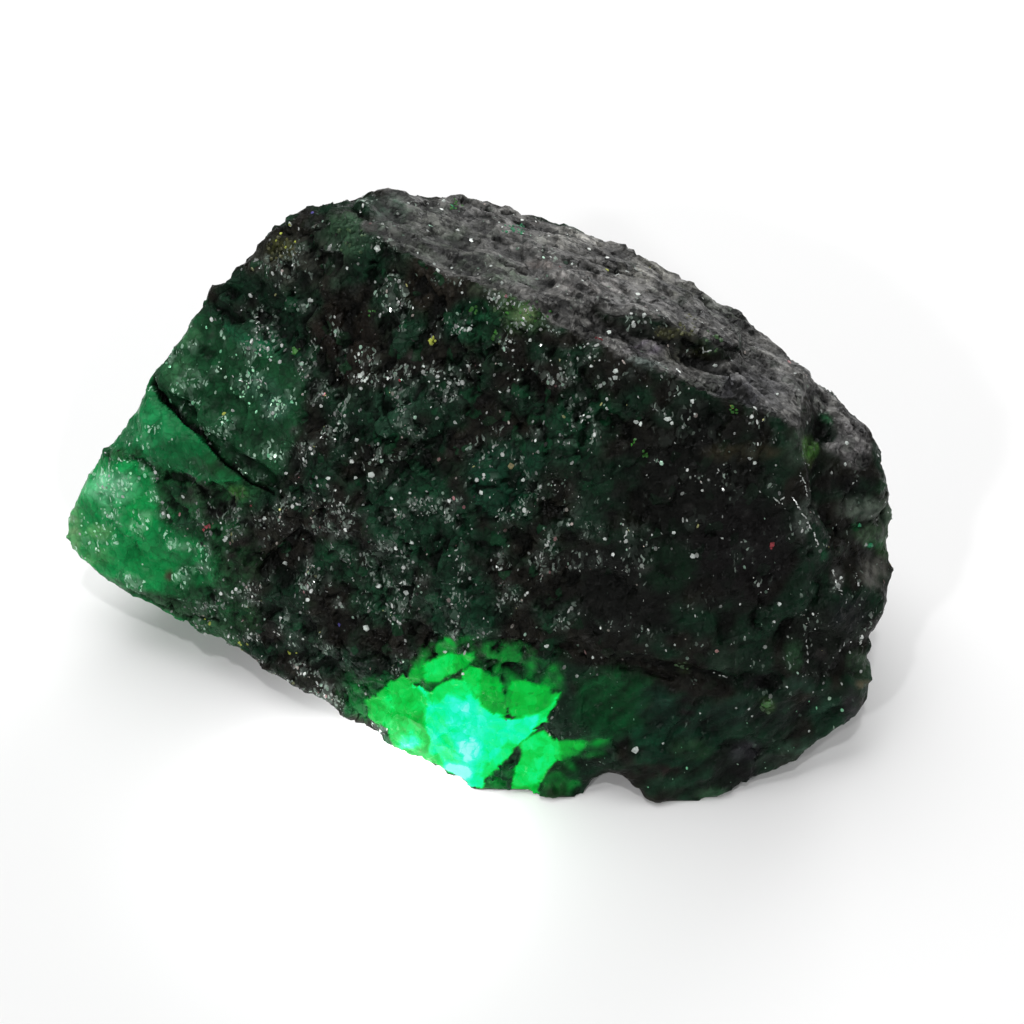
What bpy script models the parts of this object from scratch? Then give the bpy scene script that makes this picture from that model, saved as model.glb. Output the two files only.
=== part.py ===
"""A raw emerald: one lump of dark mica schist with emerald grown through it, as it was broken from the rock.

Metres, +Z up. X runs along the stone and -Y is its best side. It rests on the flat facet under it, and the
origin is the middle of its outline, on the surface that it stands on. Sizes in the tables are in millimetres.
"""

import bmesh
import bpy
from mathutils import Vector, noise

MM = 0.001

NAME = "raw_emerald"

# The broken corners of the stone, in millimetres.
CREST = (  # front edge of the bedding face on top
    (-19.5, 14.5, 36.5), (-14.5, 12.5, 38), (-9, 9.5, 38), (-3, 6, 37.6), (2, 4, 37),
    (5, 4.4, 36.4), (8.5, 4.5, 35.7), (13, 4.5, 34.2), (17, 4, 32.4),
)
BENCH = (  # front edge of the step below it
    (6.5, 2, 35), (10.5, 0.5, 34), (14.5, -0.5, 33), (18, -1.2, 31.6), (22.5, -2, 29.4),
)
SKYLINE = (  # back edge of the bedding face
    (-15, 16.5, 37), (-10.5, 18.5, 36.5), (-5, 19.3, 35.4), (-0.5, 19, 34.3), (3.5, 18, 33.4),
    (11, 16, 31.5), (19, 12, 28.6), (23.7, 7.2, 26.6), (27, 5.5, 25), (30, 3.8, 22.5),
)
TIP = (  # the green end
    (-39.8, 4.2, 10), (-35.7, 4.2, 15), (-31.9, 5.2, 20), (-28.8, 7, 24), (-26.8, 10.7, 29), (-23, 13.2, 33),
    (-39.4, 3, 7.5), (-36, 1.4, 5.5),
)
BUTT = (  # the stepped end
    (31.7, 1.5, 18.5), (33, -0.7, 15.5), (32.3, -2.5, 12.8), (31.2, -6.5, 9.5), (31.6, -10.2, 6.3),
    (30.5, -13.7, 4.2), (26, -15, 2.5),
)
FRONT = (  # the best side, above the belt
    (-17.5, 2.5, 26), (-5, -2, 27), (7, -4.5, 26.5), (16.5, -6.5, 24), (25, -4.5, 19.7), (27.5, -7, 15),
    (-26.5, 2, 16.5),
)
BELT = (  # the swell under it, where the side turns down
    (-23, -2, 13), (-13.5, -6.5, 13.5), (-2.5, -11, 14), (7, -12, 13.5), (17, -12.7, 12), (27.5, -10.5, 9.5),
)
FOOT = (
    (19.5, -17, 1.5), (16.5, -18.2, -0.5), (5, -18, -0.5), (1.5, -18, -0.5), (-2.5, -17, 0.5),
    (-6, -15.7, 1.2), (-12, -10.2, 2.2), (-19, -5.4, 3), (-25, -2.7, 3.5), (-30, -0.3, 4), (-9, -7, -1),
    (8, -13, -1.2), (21, -9, -1.2),
)
BACK = (  # the far side
    (-31, 13, 12), (-22, 20, 16), (-12, 24, 20), (0, 26, 18), (12, 22.5, 17), (22, 15.5, 15), (29, 8.5, 9),
    (-23, 18, 4.5), (-8, 25.5, 5), (6, 25.5, 4.5), (18, 19.5, 3.5), (27, 8, 2.5), (-2, 17, -1.2),
    (13, 13, -1.2), (-15, 11, -1),
)

# The schist's layers: the way they face, how thick they are, and how far their edges stand out on the best
# side and on the sides that weathered.
POLE = Vector((0.33, 0.2, 0.92)).normalized()
LAYER = 3.2
FRESH_LEDGE = 0.2
OLD_LEDGE = 1.0
LEDGE_SEED = 3.5

# The broken surface: how wide and how high its lumps are, and how wide its chips are and how far they tilt.
LUMP_WIDTH = 9
LUMP_HEIGHT = 0.55
CHIPS = ((6, 0.2), (3.2, 0.24))
RAGGEDNESS = 1.2  # how far the chips' edges wander
WANDER_OFFSETS = (Vector((0, 0, 0)), Vector((31, 0, 0)), Vector((0, 31, 0)))
BEDDING_CALM = 0.8  # how much of the chips and ledges the bedding faces lack
TIP_CALM = 0.4  # how much of them the green end lacks
SKIN = 0.15  # evens out what the even skin takes off corners

# Pieces that split off along the layers. Each left a step: its inner corner runs from start to end, and the
# tread and the riser lead out of it.
STEPS = (
    # start, end, tread, riser
    ((2, 6, 36.0), (17.5, 3.6, 30.3), (0, -10, 2.8), (0, 1.5, 6)),  # bench in front
    ((17, 2.5, 30.9), (20.5, 14, 26.2), (9, -1, -3.5), (-1, 0.5, 6)),  # bench at the back
    ((25, 8, 26.4), (23.8, -5, 21.3), (11, 0.5, -3.2), (-0.8, -0.5, 9)),  # end block
)
# Wedges that broke out between layers: the apex runs from start to end, and the mouth spans two vectors.
NOTCHES = (
    # start, end, mouth, mouth
    ((28.6, 4.3, 18.4), (22, 1, 21.2), (4, -6, 0.7), (4, -6, -2.6)),  # under the end block
    ((29, -3, 10.3), (26, -8.5, 11), (6, -3, 1.6), (5, -5, -2.4)),  # low on the stepped end
    ((20.5, -8.6, 12.2), (26, -5, 16.4), (1, -5, 2.8), (2, -5, -0.6)),  # across its corner
    ((3, -9.6, 13), (27, -10.6, 8.4), (0, -5, 3), (0, -5, -0.2)),  # above the foot
    ((9.3, -20, 3.4), (8.5, -4, 0.8), (-4.5, 0, -5), (5, 0, -5)),  # arch in the foot
    ((-7.8, 14, 37), (-6.3, 22, 33), (-3, 1, 3.5), (3.5, 1, 3.5)),  # back edge of the top
    ((-29.5, 9.9, 22.9), (-17.2, 0.2, 18.7), (-0.9, -2.9, 3.1), (-2.4, -3.6, 0.3)),  # crack at the green end
)

VOXEL = 0.55  # of the even skin that carries the relief
MOST_TRIANGLES = 9400

STONE_COLOUR = (0.012, 0.03, 0.018, 1)
STONE_ROUGHNESS = 0.45


def stone_material():
    """Near-black green, with the dull gloss of a fresh break."""
    material = bpy.data.materials.new("emerald_schist")
    material.use_nodes = True
    shader = material.node_tree.nodes["Principled BSDF"]
    shader.inputs["Base Color"].default_value = STONE_COLOUR
    shader.inputs["Roughness"].default_value = STONE_ROUGHNESS
    shader.inputs["Metallic"].default_value = 0
    return material


def hull_of(points, name):
    """A closed convex block with its corners at these points, in millimetres."""
    bm = bmesh.new()
    for point in points:
        bm.verts.new(Vector(point) * MM)
    bmesh.ops.convex_hull(bm, input=bm.verts)
    bmesh.ops.recalc_face_normals(bm, faces=bm.faces)
    mesh = bpy.data.meshes.new(name)
    bm.to_mesh(mesh)
    bm.free()
    block = bpy.data.objects.new(name, mesh)
    bpy.context.scene.collection.objects.link(block)
    return block


def step_block(start, end, tread, riser, name):
    """The block that split off above a step."""
    tread, riser = Vector(tread), Vector(riser)
    corners = [Vector(p) + o for p in (start, end) for o in (Vector(), tread, riser, tread + riser)]
    return hull_of(corners, name)


def notch_block(start, end, upper, lower, name):
    """The wedge that broke out of a notch."""
    corners = [Vector(p) + o for p in (start, end) for o in (Vector(), Vector(upper), Vector(lower))]
    return hull_of(corners, name)


def cut(stone, block):
    """Takes a block's space out of the stone."""
    block.hide_render = True
    block.display_type = "WIRE"
    modifier = stone.modifiers.new(block.name, "BOOLEAN")
    modifier.operation = "DIFFERENCE"
    modifier.object = block


def apply_modifiers(stone):
    """Makes the stone's mesh what its modifiers show."""
    graph = bpy.context.evaluated_depsgraph_get()
    made = bpy.data.meshes.new_from_object(stone.evaluated_get(graph))
    old = stone.data
    stone.modifiers.clear()
    stone.data = made
    bpy.data.meshes.remove(old)


def smoothstep(low, high, x):
    """0 below low, 1 above high, and a smooth ramp between them."""
    t = min(1.0, max(0.0, (x - low) / (high - low)))
    return t * t * (3 - 2 * t)


def fracture(p, size, tilt):
    """Height of a surface broken into tilted chips of about this size, in millimetres."""
    centre = noise.voronoi(p / size)[1][0]
    lean = noise.cell_vector(centre * 7) - Vector((0.5, 0.5, 0.5))
    return (p - centre * size).dot(lean) * tilt


def relief(p, normal):
    """How far the surface stands proud of the plain form at p, in millimetres."""
    old = max(smoothstep(20, 27, p.x), smoothstep(12, 20, p.y))
    bedding = smoothstep(0.8, 0.95, abs(normal.dot(POLE)))
    tip = 1 - smoothstep(-33, -26, p.x)
    lumps = noise.fractal(p / LUMP_WIDTH, 1.0, 2.0, 3) * LUMP_HEIGHT
    wander = Vector([noise.noise(p / 5 + offset) for offset in WANDER_OFFSETS])
    ragged = p + wander * RAGGEDNESS
    chips = sum(fracture(ragged, width, tilt) for width, tilt in CHIPS)
    level = p.dot(POLE) / LAYER + noise.noise(p / 7) * 0.7
    ledge = FRESH_LEDGE + (OLD_LEDGE - FRESH_LEDGE) * old
    ledges = (noise.cell(Vector((level, LEDGE_SEED, 0))) - 0.5) * ledge
    return SKIN + lumps + (chips + ledges) * (1 - BEDDING_CALM * bedding) * (1 - TIP_CALM * tip)


def weather(stone):
    """Gives the plain form its broken surface."""
    bm = bmesh.new()
    bm.from_mesh(stone.data)
    bm.normal_update()
    for vertex in bm.verts:
        vertex.co += vertex.normal * relief(vertex.co / MM, vertex.normal) * MM
    bm.to_mesh(stone.data)
    bm.free()


def flatten_foot(stone):
    """Cuts the stone off level where it rests."""
    bm = bmesh.new()
    bm.from_mesh(stone.data)
    whole = bm.verts[:] + bm.edges[:] + bm.faces[:]
    made = bmesh.ops.bisect_plane(bm, geom=whole, plane_co=(0, 0, 0), plane_no=(0, 0, -1), clear_outer=True)
    rim = [e for e in made["geom_cut"] if isinstance(e, bmesh.types.BMEdge)]
    bmesh.ops.contextual_create(bm, geom=rim)
    bmesh.ops.triangulate(bm, faces=[f for f in bm.faces if len(f.verts) > 3])
    bmesh.ops.recalc_face_normals(bm, faces=bm.faces)
    bm.to_mesh(stone.data)
    bm.free()


def centre(stone):
    """Moves the stone so that the middle of its outline is over the origin."""
    xs, ys = ([v.co[axis] for v in stone.data.vertices] for axis in (0, 1))
    middle = Vector(((min(xs) + max(xs)) / 2, (min(ys) + max(ys)) / 2, 0))
    for vertex in stone.data.vertices:
        vertex.co -= middle


def main():
    for old in list(bpy.data.objects):
        bpy.data.objects.remove(old)
    stone = hull_of(CREST + BENCH + SKYLINE + TIP + BUTT + FRONT + BELT + FOOT + BACK, NAME)
    for number, step in enumerate(STEPS):
        cut(stone, step_block(*step, f"step_{number}"))
    for number, notch in enumerate(NOTCHES):
        cut(stone, notch_block(*notch, f"notch_{number}"))
    remesh = stone.modifiers.new("even skin", "REMESH")
    remesh.mode = "VOXEL"
    remesh.voxel_size = VOXEL * MM
    apply_modifiers(stone)
    weather(stone)
    decimate = stone.modifiers.new("facets", "DECIMATE")
    decimate.ratio = MOST_TRIANGLES / (2 * len(stone.data.polygons))
    apply_modifiers(stone)
    flatten_foot(stone)
    centre(stone)
    stone.data.materials.append(stone_material())


main()
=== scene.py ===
"""Raw emerald in a lump of dark mica schist: the broken stone, its loose grains and its mica flakes.

Lengths in the functions below are millimetres unless a name says otherwise.
"""

import math
import random

import bmesh
import bpy
import numpy as np
from bpy.props import FloatProperty, FloatVectorProperty, IntProperty, PointerProperty
from mathutils import Matrix, Vector, noise
from mathutils.bvhtree import BVHTree


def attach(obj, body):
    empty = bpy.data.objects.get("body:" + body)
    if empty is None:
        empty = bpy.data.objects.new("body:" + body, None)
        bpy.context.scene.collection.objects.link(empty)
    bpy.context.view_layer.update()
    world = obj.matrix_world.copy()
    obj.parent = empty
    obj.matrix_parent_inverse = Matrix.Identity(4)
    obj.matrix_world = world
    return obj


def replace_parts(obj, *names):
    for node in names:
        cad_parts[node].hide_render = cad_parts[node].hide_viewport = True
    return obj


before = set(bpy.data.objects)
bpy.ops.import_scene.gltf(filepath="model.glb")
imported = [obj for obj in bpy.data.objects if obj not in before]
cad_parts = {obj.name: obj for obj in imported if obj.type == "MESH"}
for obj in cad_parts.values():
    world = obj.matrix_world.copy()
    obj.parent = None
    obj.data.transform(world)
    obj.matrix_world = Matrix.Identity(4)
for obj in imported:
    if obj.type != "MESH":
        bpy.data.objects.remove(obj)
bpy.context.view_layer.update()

bl_info = {
    "name": "Raw Emerald in Schist",
    "version": (1, 0, 0),
    "blender": (4, 5, 0),
    "location": "3D Viewport > Sidebar > Emerald",
    "description": "Dresses a lump of raw emerald in schist with grains, mica flakes and a lit window",
    "category": "Object",
}

NODE = "raw_emerald"
BODY = "root"
MM = 0.001

# The layers of the schist: which way they face, and how the streaks run along them.
POLE = Vector((0.33, 0.2, 0.92)).normalized()
STREAK = Vector((0.89, -0.40, -0.23))
STREAK = (STREAK - POLE * STREAK.dot(POLE)).normalized()
ACROSS = POLE.cross(STREAK)
UP = Vector((0, 0, 1))
# The foot's own grain: its streaks run down to the left, and how long, wide and thick they are.
FOOT_GRAIN = np.array(((0.82, 0.0, 0.57), (0.0, 1.0, 0.0), (-0.57, 0.0, 0.82))).T
FOOT_STREAK = np.array((4.5, 1.3, 0.8))

# Where the zones of the stone lie.
GREEN_END_EDGE = -23.4  # the green end behind is everything left of this
LEDGE_HEIGHT = 12.4  # the foot is everything below the ledge

# Broad colours of the stone: name, middle, radius, colour.
PATCHES = (
    ("teal block, top", (-23, 5, 27), 3.4, (0.008, 0.070, 0.026)),
    ("teal block, middle", (-19, 3, 27), 4.6, (0.010, 0.095, 0.040)),
    ("teal block, foot", (-19, -1, 23), 3.8, (0.005, 0.048, 0.017)),
    ("lower left rim", (-21, -8, 8), 2.8, (0.012, 0.045, 0.016)),
    ("left, brown", (-18, -5, 15), 3.4, (0.016, 0.016, 0.012)),
    ("left, green", (-11, -8, 16), 2.6, (0.006, 0.032, 0.014)),
    ("middle, green", (-4, -8, 22), 5.3, (0.006, 0.030, 0.014)),
    ("middle right, green", (3, -7, 25), 4.0, (0.005, 0.030, 0.015)),
    ("right of middle, green", (9, -5, 30), 3.2, (0.006, 0.034, 0.015)),
    ("middle, pale green", (-6, -3, 29), 2.6, (0.014, 0.042, 0.024)),
    ("low middle, green", (0, -13, 16), 3.6, (0.005, 0.028, 0.013)),
    ("low left, green", (-8, -11, 14), 3.0, (0.008, 0.034, 0.016)),
    ("under the crest, yellow-green", (4, 0, 38), 2.2, (0.030, 0.075, 0.018)),
    ("upper middle, green", (0, 1, 35), 2.2, (0.006, 0.038, 0.018)),
    ("upper, warm black", (-10, 2, 31), 4.0, (0.010, 0.008, 0.006)),
    ("upper, brown black", (-3, 3, 37), 3.2, (0.012, 0.010, 0.007)),
    ("right, black", (18, -9, 27), 7.2, (0.0045, 0.0050, 0.0040)),
    ("right, violet black", (22, -11, 21), 5.4, (0.0055, 0.0050, 0.0050)),
    ("low right, black", (12, -13, 18), 5.4, (0.0050, 0.0055, 0.0046)),
    ("right, faint green", (16, -12, 20), 2.5, (0.004, 0.015, 0.007)),
    ("foot, lit green", (12, -18, 9), 4.0, (0.002, 0.036, 0.010)),
    ("foot, green", (18, -19, 6), 4.5, (0.003, 0.018, 0.009)),
    ("foot, dark green", (24, -18, 7), 4.2, (0.004, 0.016, 0.008)),
    ("foot, edge", (22, -20, 2), 3.4, (0.006, 0.010, 0.007)),
    ("right end, low", (29, -13, 12), 4.0, (0.008, 0.011, 0.008)),
    ("end lump, yellow-green", (27, -4, 25), 1.5, (0.050, 0.090, 0.018)),
    ("top left, pale green", (-10, 8, 37), 2.2, (0.020, 0.050, 0.025)),
    ("step, olive", (19, 1, 33), 1.6, (0.020, 0.025, 0.008)),
    ("nose, green", (35, -6, 15), 1.5, (0.015, 0.050, 0.014)),
    ("left of the window", (-10, -14, 5), 2.7, (0.003, 0.045, 0.011)),
)
GREEN_BEHIND = (0.010, 0.125, 0.036)
DEEP_GREEN = (0.006, 0.060, 0.020)
PALE_GREEN = (0.050, 0.200, 0.085)
UNDER_THE_GLOW = (0.0006, 0.012, 0.005)
BEDDING_GREY = (0.060, 0.059, 0.056)
DARK_BROWN = (0.0085, 0.0080, 0.0060)
DARK_GREEN = (0.0055, 0.0205, 0.0105)
EMERALD_CHIP = (0.006, 0.060, 0.022, 1)
# painted glints: the pale colour of the flecks where the mica glitters
PAINTED_MICA_GLINT = (0.28, 0.35, 0.30, 1)
PAINTED_MICA_GLINT_ON_GREEN = (0.60, 0.95, 0.72, 1)
# painted shade, laid into the hollows and the cracks
PAINTED_SHADE_BLACK = (0.0012, 0.0016, 0.0012, 1)
GRAIN_MOTTLE = (0.006, 0.008, 0.006, 1)
FLAKE_MOTTLE = (0.12, 0.15, 0.12, 1)

# Places on the best side are given in marks, across and down from the upper left corner of a drawing
# 1024 marks wide, made from this standing place with the drawing tipped back by this angle.
FRONT_EYE = Vector((3.41, -111.93, 145.95))
FRONT_TIP = math.radians(40)
FRONT_REACH = 1991
FRONT_CENTRE = 512
FRONT_MIDDLE = (500, 480)  # marks near the middle of the stone
# the box round the painted glow of the window, in marks
PAINTED_GLOW_LEFT, PAINTED_GLOW_RIGHT, PAINTED_GLOW_TOP = 340, 615, 632

# Areas of colour on the best side, painted in this order: name, colour, softness, corners.
FRONT_AREAS = (
    ("green end", (0.010, 0.060, 0.020), 12, (
        (150, 392), (165, 405), (200, 434), (236, 472), (258, 490), (238, 520), (255, 560), (236, 600),
        (232, 645), (190, 660), (100, 620), (40, 560), (45, 480), (110, 430), (135, 385),
    )),
    ("teal block", (0.008, 0.048, 0.018), 8, (
        (156, 382), (150, 345), (175, 318), (215, 318), (240, 345), (278, 358), (303, 380), (300, 420),
        (290, 450), (275, 485), (250, 478), (225, 455), (205, 432), (185, 412), (165, 395),
    )),
    ("upper face", (0.006, 0.115, 0.033), 2.5, (
        (145, 380), (165, 402), (185, 420), (205, 438), (222, 460), (240, 478), (220, 484), (195, 476),
        (170, 470), (150, 462), (128, 455), (110, 446), (118, 425), (130, 395),
    )),
    ("lobe", (0.004, 0.235, 0.055), 10, (
        (95, 466), (118, 460), (140, 466), (153, 480), (158, 500), (160, 525), (178, 538), (202, 546),
        (214, 566), (206, 586), (180, 594), (140, 594), (110, 592), (75, 575), (50, 545), (50, 520),
        (66, 498),
    )),
    ("foot rim", (0.024, 0.072, 0.032), 4, (
        (125, 588), (150, 592), (190, 607), (230, 628), (245, 645), (200, 652), (150, 625), (110, 600),
    )),
)
# Spots of colour on the best side, painted over those: name, colour, middle, half width and half height.
FRONT_SPOTS = (
    ("upper face, bright", (0.012, 0.205, 0.062), (152, 430), (26, 30)),
    ("upper face, inner end", (0.007, 0.046, 0.014), (218, 466), (30, 16)),
    ("upper face, foot", (0.011, 0.065, 0.020), (128, 454), (18, 7)),
    # painted glints: the sugary pale spot where the lobe sparkles
    ("lobe, sugary", (0.120, 0.480, 0.230), (112, 487), (30, 19)),
    ("lobe, deep", (0.005, 0.250, 0.052), (140, 512), (15, 22)),
    ("lobe, lower", (0.004, 0.215, 0.048), (152, 562), (38, 20)),
    ("lobe, right side", (0.005, 0.130, 0.034), (168, 540), (16, 34)),
    ("lobe, far right", (0.005, 0.078, 0.022), (195, 566), (24, 28)),
    ("lobe, pale foot", (0.045, 0.270, 0.075), (92, 556), (24, 14)),
    ("lobe, pale rim", (0.150, 0.330, 0.140), (70, 530), (14, 32)),
    ("lobe, pale drop", (0.110, 0.420, 0.130), (98, 533), (15, 10)),
    ("lobe, lower edge", (0.014, 0.100, 0.030), (125, 583), (26, 7)),
    ("below the lobe, green", (0.005, 0.085, 0.022), (186, 588), (28, 14)),
    ("below the lobe, dark green", (0.011, 0.045, 0.018), (205, 595), (26, 16)),
    ("beside the lobe", (0.016, 0.090, 0.030), (163, 505), (9, 20)),
    ("inner patch, grey", (0.026, 0.030, 0.024), (195, 492), (24, 13)),
    ("inner patch, dark", (0.009, 0.040, 0.018), (185, 524), (20, 12)),
    ("inner patch, black", (0.010, 0.010, 0.009), (222, 512), (24, 15)),
    ("inner patch, brown", (0.014, 0.013, 0.011), (240, 555), (20, 34)),
    ("brown speck", (0.035, 0.022, 0.012), (169, 575), (5, 6)),
    ("leaf green lump", (0.055, 0.185, 0.036), (237, 493), (12, 10)),
    ("teal, pale left", (0.036, 0.135, 0.056), (180, 374), (20, 20)),
    ("teal, pale top", (0.030, 0.110, 0.045), (190, 338), (14, 12)),
    ("teal, pale streak", (0.026, 0.095, 0.052), (255, 385), (22, 14)),
    ("teal, pale right", (0.024, 0.082, 0.048), (275, 405), (18, 20)),
    ("teal, green foot", (0.013, 0.052, 0.022), (265, 448), (20, 18)),
    ("teal, black foot", (0.009, 0.012, 0.010), (236, 462), (22, 11)),
    ("top left, grey", (0.024, 0.026, 0.020), (300, 262), (56, 34)),
    ("top left, olive", (0.050, 0.056, 0.016), (279, 250), (16, 13)),
    ("top left, green grey", (0.024, 0.052, 0.030), (352, 240), (22, 16)),
    ("crest, leaf green", (0.026, 0.064, 0.023), (524, 314), (34, 21)),
    ("crest, pale green", (0.110, 0.170, 0.070), (523, 315), (15, 11)),
    ("crest, green", (0.008, 0.050, 0.020), (480, 320), (26, 24)),
    ("crest, moss", (0.030, 0.042, 0.026), (500, 288), (34, 10)),
    ("end, olive brown", (0.020, 0.018, 0.010), (745, 452), (46, 11)),
    ("end lump, green grey", (0.022, 0.036, 0.024), (797, 448), (14, 22)),
    ("end lump, leaf green", (0.045, 0.130, 0.022), (808, 447), (9, 14)),
    ("behind the end, green", (0.022, 0.120, 0.045), (830, 410), (9, 14)),
    ("behind the end, black", (0.003, 0.003, 0.003), (820, 428), (11, 12)),
    # painted shadow: the black band under the overhang of the end block
    ("nose, black band", (0.005, 0.005, 0.005), (846, 484), (36, 15)),
    ("nose, green end of the band", (0.011, 0.034, 0.016), (884, 486), (9, 9)),
    ("nose, grey green", (0.075, 0.095, 0.075), (862, 508), (28, 12)),
    ("nose, pale rim", (0.090, 0.125, 0.090), (888, 522), (11, 24)),
    ("nose, moss face", (0.052, 0.092, 0.052), (872, 534), (20, 13)),
    ("nose, leaf green", (0.022, 0.095, 0.034), (874, 543), (11, 6)),
    ("nose, green drop", (0.010, 0.080, 0.026), (854, 524), (5, 7)),
    ("nose, sea green drop", (0.010, 0.060, 0.026), (823, 555), (5, 7)),
    ("nose, grey foot", (0.085, 0.085, 0.074), (874, 570), (17, 21)),
    ("nose, grey black", (0.008, 0.010, 0.010), (848, 612), (24, 20)),
    # painted highlights on the lit ridges of the end
    ("nose, pale ridge", (0.050, 0.060, 0.052), (803, 520), (9, 24)),
    ("nose, lower pale ridge", (0.060, 0.062, 0.058), (836, 580), (8, 15)),
    ("foot, lit green", (0.003, 0.044, 0.012), (610, 692), (34, 28)),
    ("foot, blue green", (0.005, 0.020, 0.012), (656, 706), (24, 26)),
    ("foot, sea green", (0.003, 0.036, 0.015), (645, 737), (24, 12)),
    ("foot, brown hollow", (0.007, 0.006, 0.006), (687, 708), (13, 22)),
    ("foot, green", (0.005, 0.016, 0.010), (730, 712), (34, 16)),
    ("foot, leaf green", (0.012, 0.042, 0.017), (690, 749), (25, 13)),
    ("foot, dark", (0.004, 0.009, 0.006), (778, 716), (34, 20)),
    ("foot, grey violet", (0.019, 0.019, 0.022), (746, 752), (18, 13)),
    ("foot, black edge", (0.007, 0.007, 0.007), (744, 771), (18, 8)),
    ("foot, green face", (0.006, 0.026, 0.014), (824, 712), (20, 16)),
    ("foot, pale green streak", (0.026, 0.056, 0.036), (806, 746), (34, 10)),
    ("foot, grey green edge", (0.018, 0.026, 0.020), (776, 762), (30, 8)),
    ("foot, pale green tip", (0.022, 0.062, 0.030), (711, 794), (19, 9)),
    ("foot, brown tip", (0.009, 0.007, 0.006), (658, 771), (28, 10)),
    ("foot, grey end", (0.020, 0.020, 0.021), (850, 706), (10, 26)),
    ("foot, leaf lump", (0.034, 0.078, 0.020), (768, 706), (9, 8)),
    ("ledge, olive lump", (0.022, 0.034, 0.012), (683, 668), (10, 8)),
    ("ledge, green grey", (0.013, 0.025, 0.016), (725, 660), (22, 13)),
    ("ledge, green", (0.016, 0.042, 0.020), (793, 655), (13, 20)),
    ("ledge, lower green", (0.013, 0.030, 0.020), (801, 685), (20, 11)),
    ("ledge, black", (0.005, 0.005, 0.005), (758, 682), (24, 10)),
    ("right end, moss", (0.024, 0.046, 0.025), (858, 664), (12, 18)),
    ("right end, tan", (0.075, 0.068, 0.042), (862, 683), (8, 6)),
    ("right end, grey lump", (0.026, 0.024, 0.022), (823, 655), (8, 7)),
    ("riser, brown black", (0.018, 0.018, 0.016), (655, 333), (80, 17)),
    ("riser, olive", (0.026, 0.027, 0.014), (668, 332), (15, 8)),
    ("riser, olive lump", (0.050, 0.052, 0.032), (688, 324), (12, 13)),
    ("riser, green block", (0.020, 0.032, 0.025), (712, 340), (14, 16)),
    ("riser, dark hollow", (0.006, 0.006, 0.006), (694, 347), (10, 5)),
)
# The same for the grey bedding faces.
BEDDING_SPOTS = (
    ("upper left", (0.028, 0.033, 0.026), (425, 232), (66, 36)),
    ("left end, green", (0.016, 0.034, 0.022), (385, 210), (26, 18)),
    ("left, pale", (0.058, 0.060, 0.054), (440, 224), (34, 12)),
    ("upper middle", (0.064, 0.063, 0.062), (470, 215), (30, 10)),
    ("brown hollow", (0.018, 0.015, 0.013), (532, 216), (22, 6)),
    # painted sheen: the pale upper rim, where the light from behind glances off
    ("upper rim, left", (0.135, 0.132, 0.120), (578, 238), (44, 14)),
    ("upper rim, middle", (0.110, 0.108, 0.096), (655, 270), (44, 13)),
    ("middle", (0.082, 0.078, 0.075), (590, 284), (50, 16)),
    ("middle left, brown", (0.040, 0.034, 0.031), (540, 262), (24, 8)),
    ("middle, dark", (0.028, 0.027, 0.026), (575, 262), (18, 7)),
    ("under the rim, dark", (0.028, 0.029, 0.022), (684, 292), (18, 10)),
    # painted sheen along the right edge
    ("right edge", (0.098, 0.106, 0.092), (724, 300), (26, 18)),
    ("right edge, green grey", (0.030, 0.036, 0.027), (735, 318), (12, 18)),
    ("lower right, pale", (0.096, 0.094, 0.092), (640, 302), (36, 9)),
    ("crest", (0.024, 0.030, 0.022), (480, 266), (42, 9)),
    ("crest, moss", (0.026, 0.038, 0.025), (512, 280), (34, 9)),
    ("lower right, dark", (0.020, 0.020, 0.018), (630, 318), (40, 7)),
    ("bench, violet", (0.044, 0.038, 0.048), (645, 350), (26, 9)),
    ("bench, pale slab", (0.036, 0.046, 0.041), (642, 366), (28, 9)),
    ("bench, olive", (0.032, 0.032, 0.025), (678, 353), (20, 10)),
    ("bench, right", (0.034, 0.034, 0.038), (740, 392), (54, 26)),
    ("under the bench, olive grey", (0.022, 0.027, 0.019), (702, 386), (26, 11)),
    ("nose", (0.048, 0.046, 0.046), (855, 440), (36, 34)),
)
# Cracks and dark seams on the best side, cut into the skin and painted dark as shade: name, depth from 0 to
# 1, widths at the start and at the end, line.
SEAMS = (
    ("open crack", 1.0, (3.5, 1.5), (
        (148, 378), (163, 397), (183, 416), (200, 433), (213, 447), (223, 459), (237, 470), (250, 481),
        (275, 494),
    )),
    ("top left seam", 0.5, (3.0, 1.8), ((462, 201), (474, 204), (484, 208), (492, 213), (501, 220))),
    ("middle left seam", 0.4, (2.0, 1.6), ((500, 266), (512, 268), (527, 272))),
    ("middle seam", 0.5, (2.4, 1.8), ((582, 262), (590, 266), (599, 271))),
    ("yellow grain's hollow", 0.45, (3.4, 3.0), ((612, 270), (622, 266), (631, 268))),
    ("lower seam", 0.35, (2.0, 1.6), ((624, 297), (636, 299), (648, 301), (657, 299))),
    ("seam under the rim", 0.4, (2.8, 2.0), ((662, 279), (672, 286), (682, 296), (690, 306))),
    ("hollow under the lump", 0.4, (3.4, 2.6), ((685, 343), (694, 347), (703, 350))),
    ("block's seam", 0.5, (2.4, 1.8), ((703, 328), (699, 340), (701, 354))),
    ("bench seam", 0.35, (2.4, 1.8), ((732, 348), (748, 354), (762, 358))),
    ("ledge seam", 0.4, (3.0, 3.0), ((622, 668), (648, 671), (672, 678))),
    ("foot seam", 0.3, (3.6, 3.0), ((700, 700), (690, 716), (672, 732), (662, 748))),
    ("foot seam, right", 0.25, (3.4, 3.0), (
        (846, 700), (822, 722), (800, 736), (778, 744), (756, 758),
    )),
)
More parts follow.
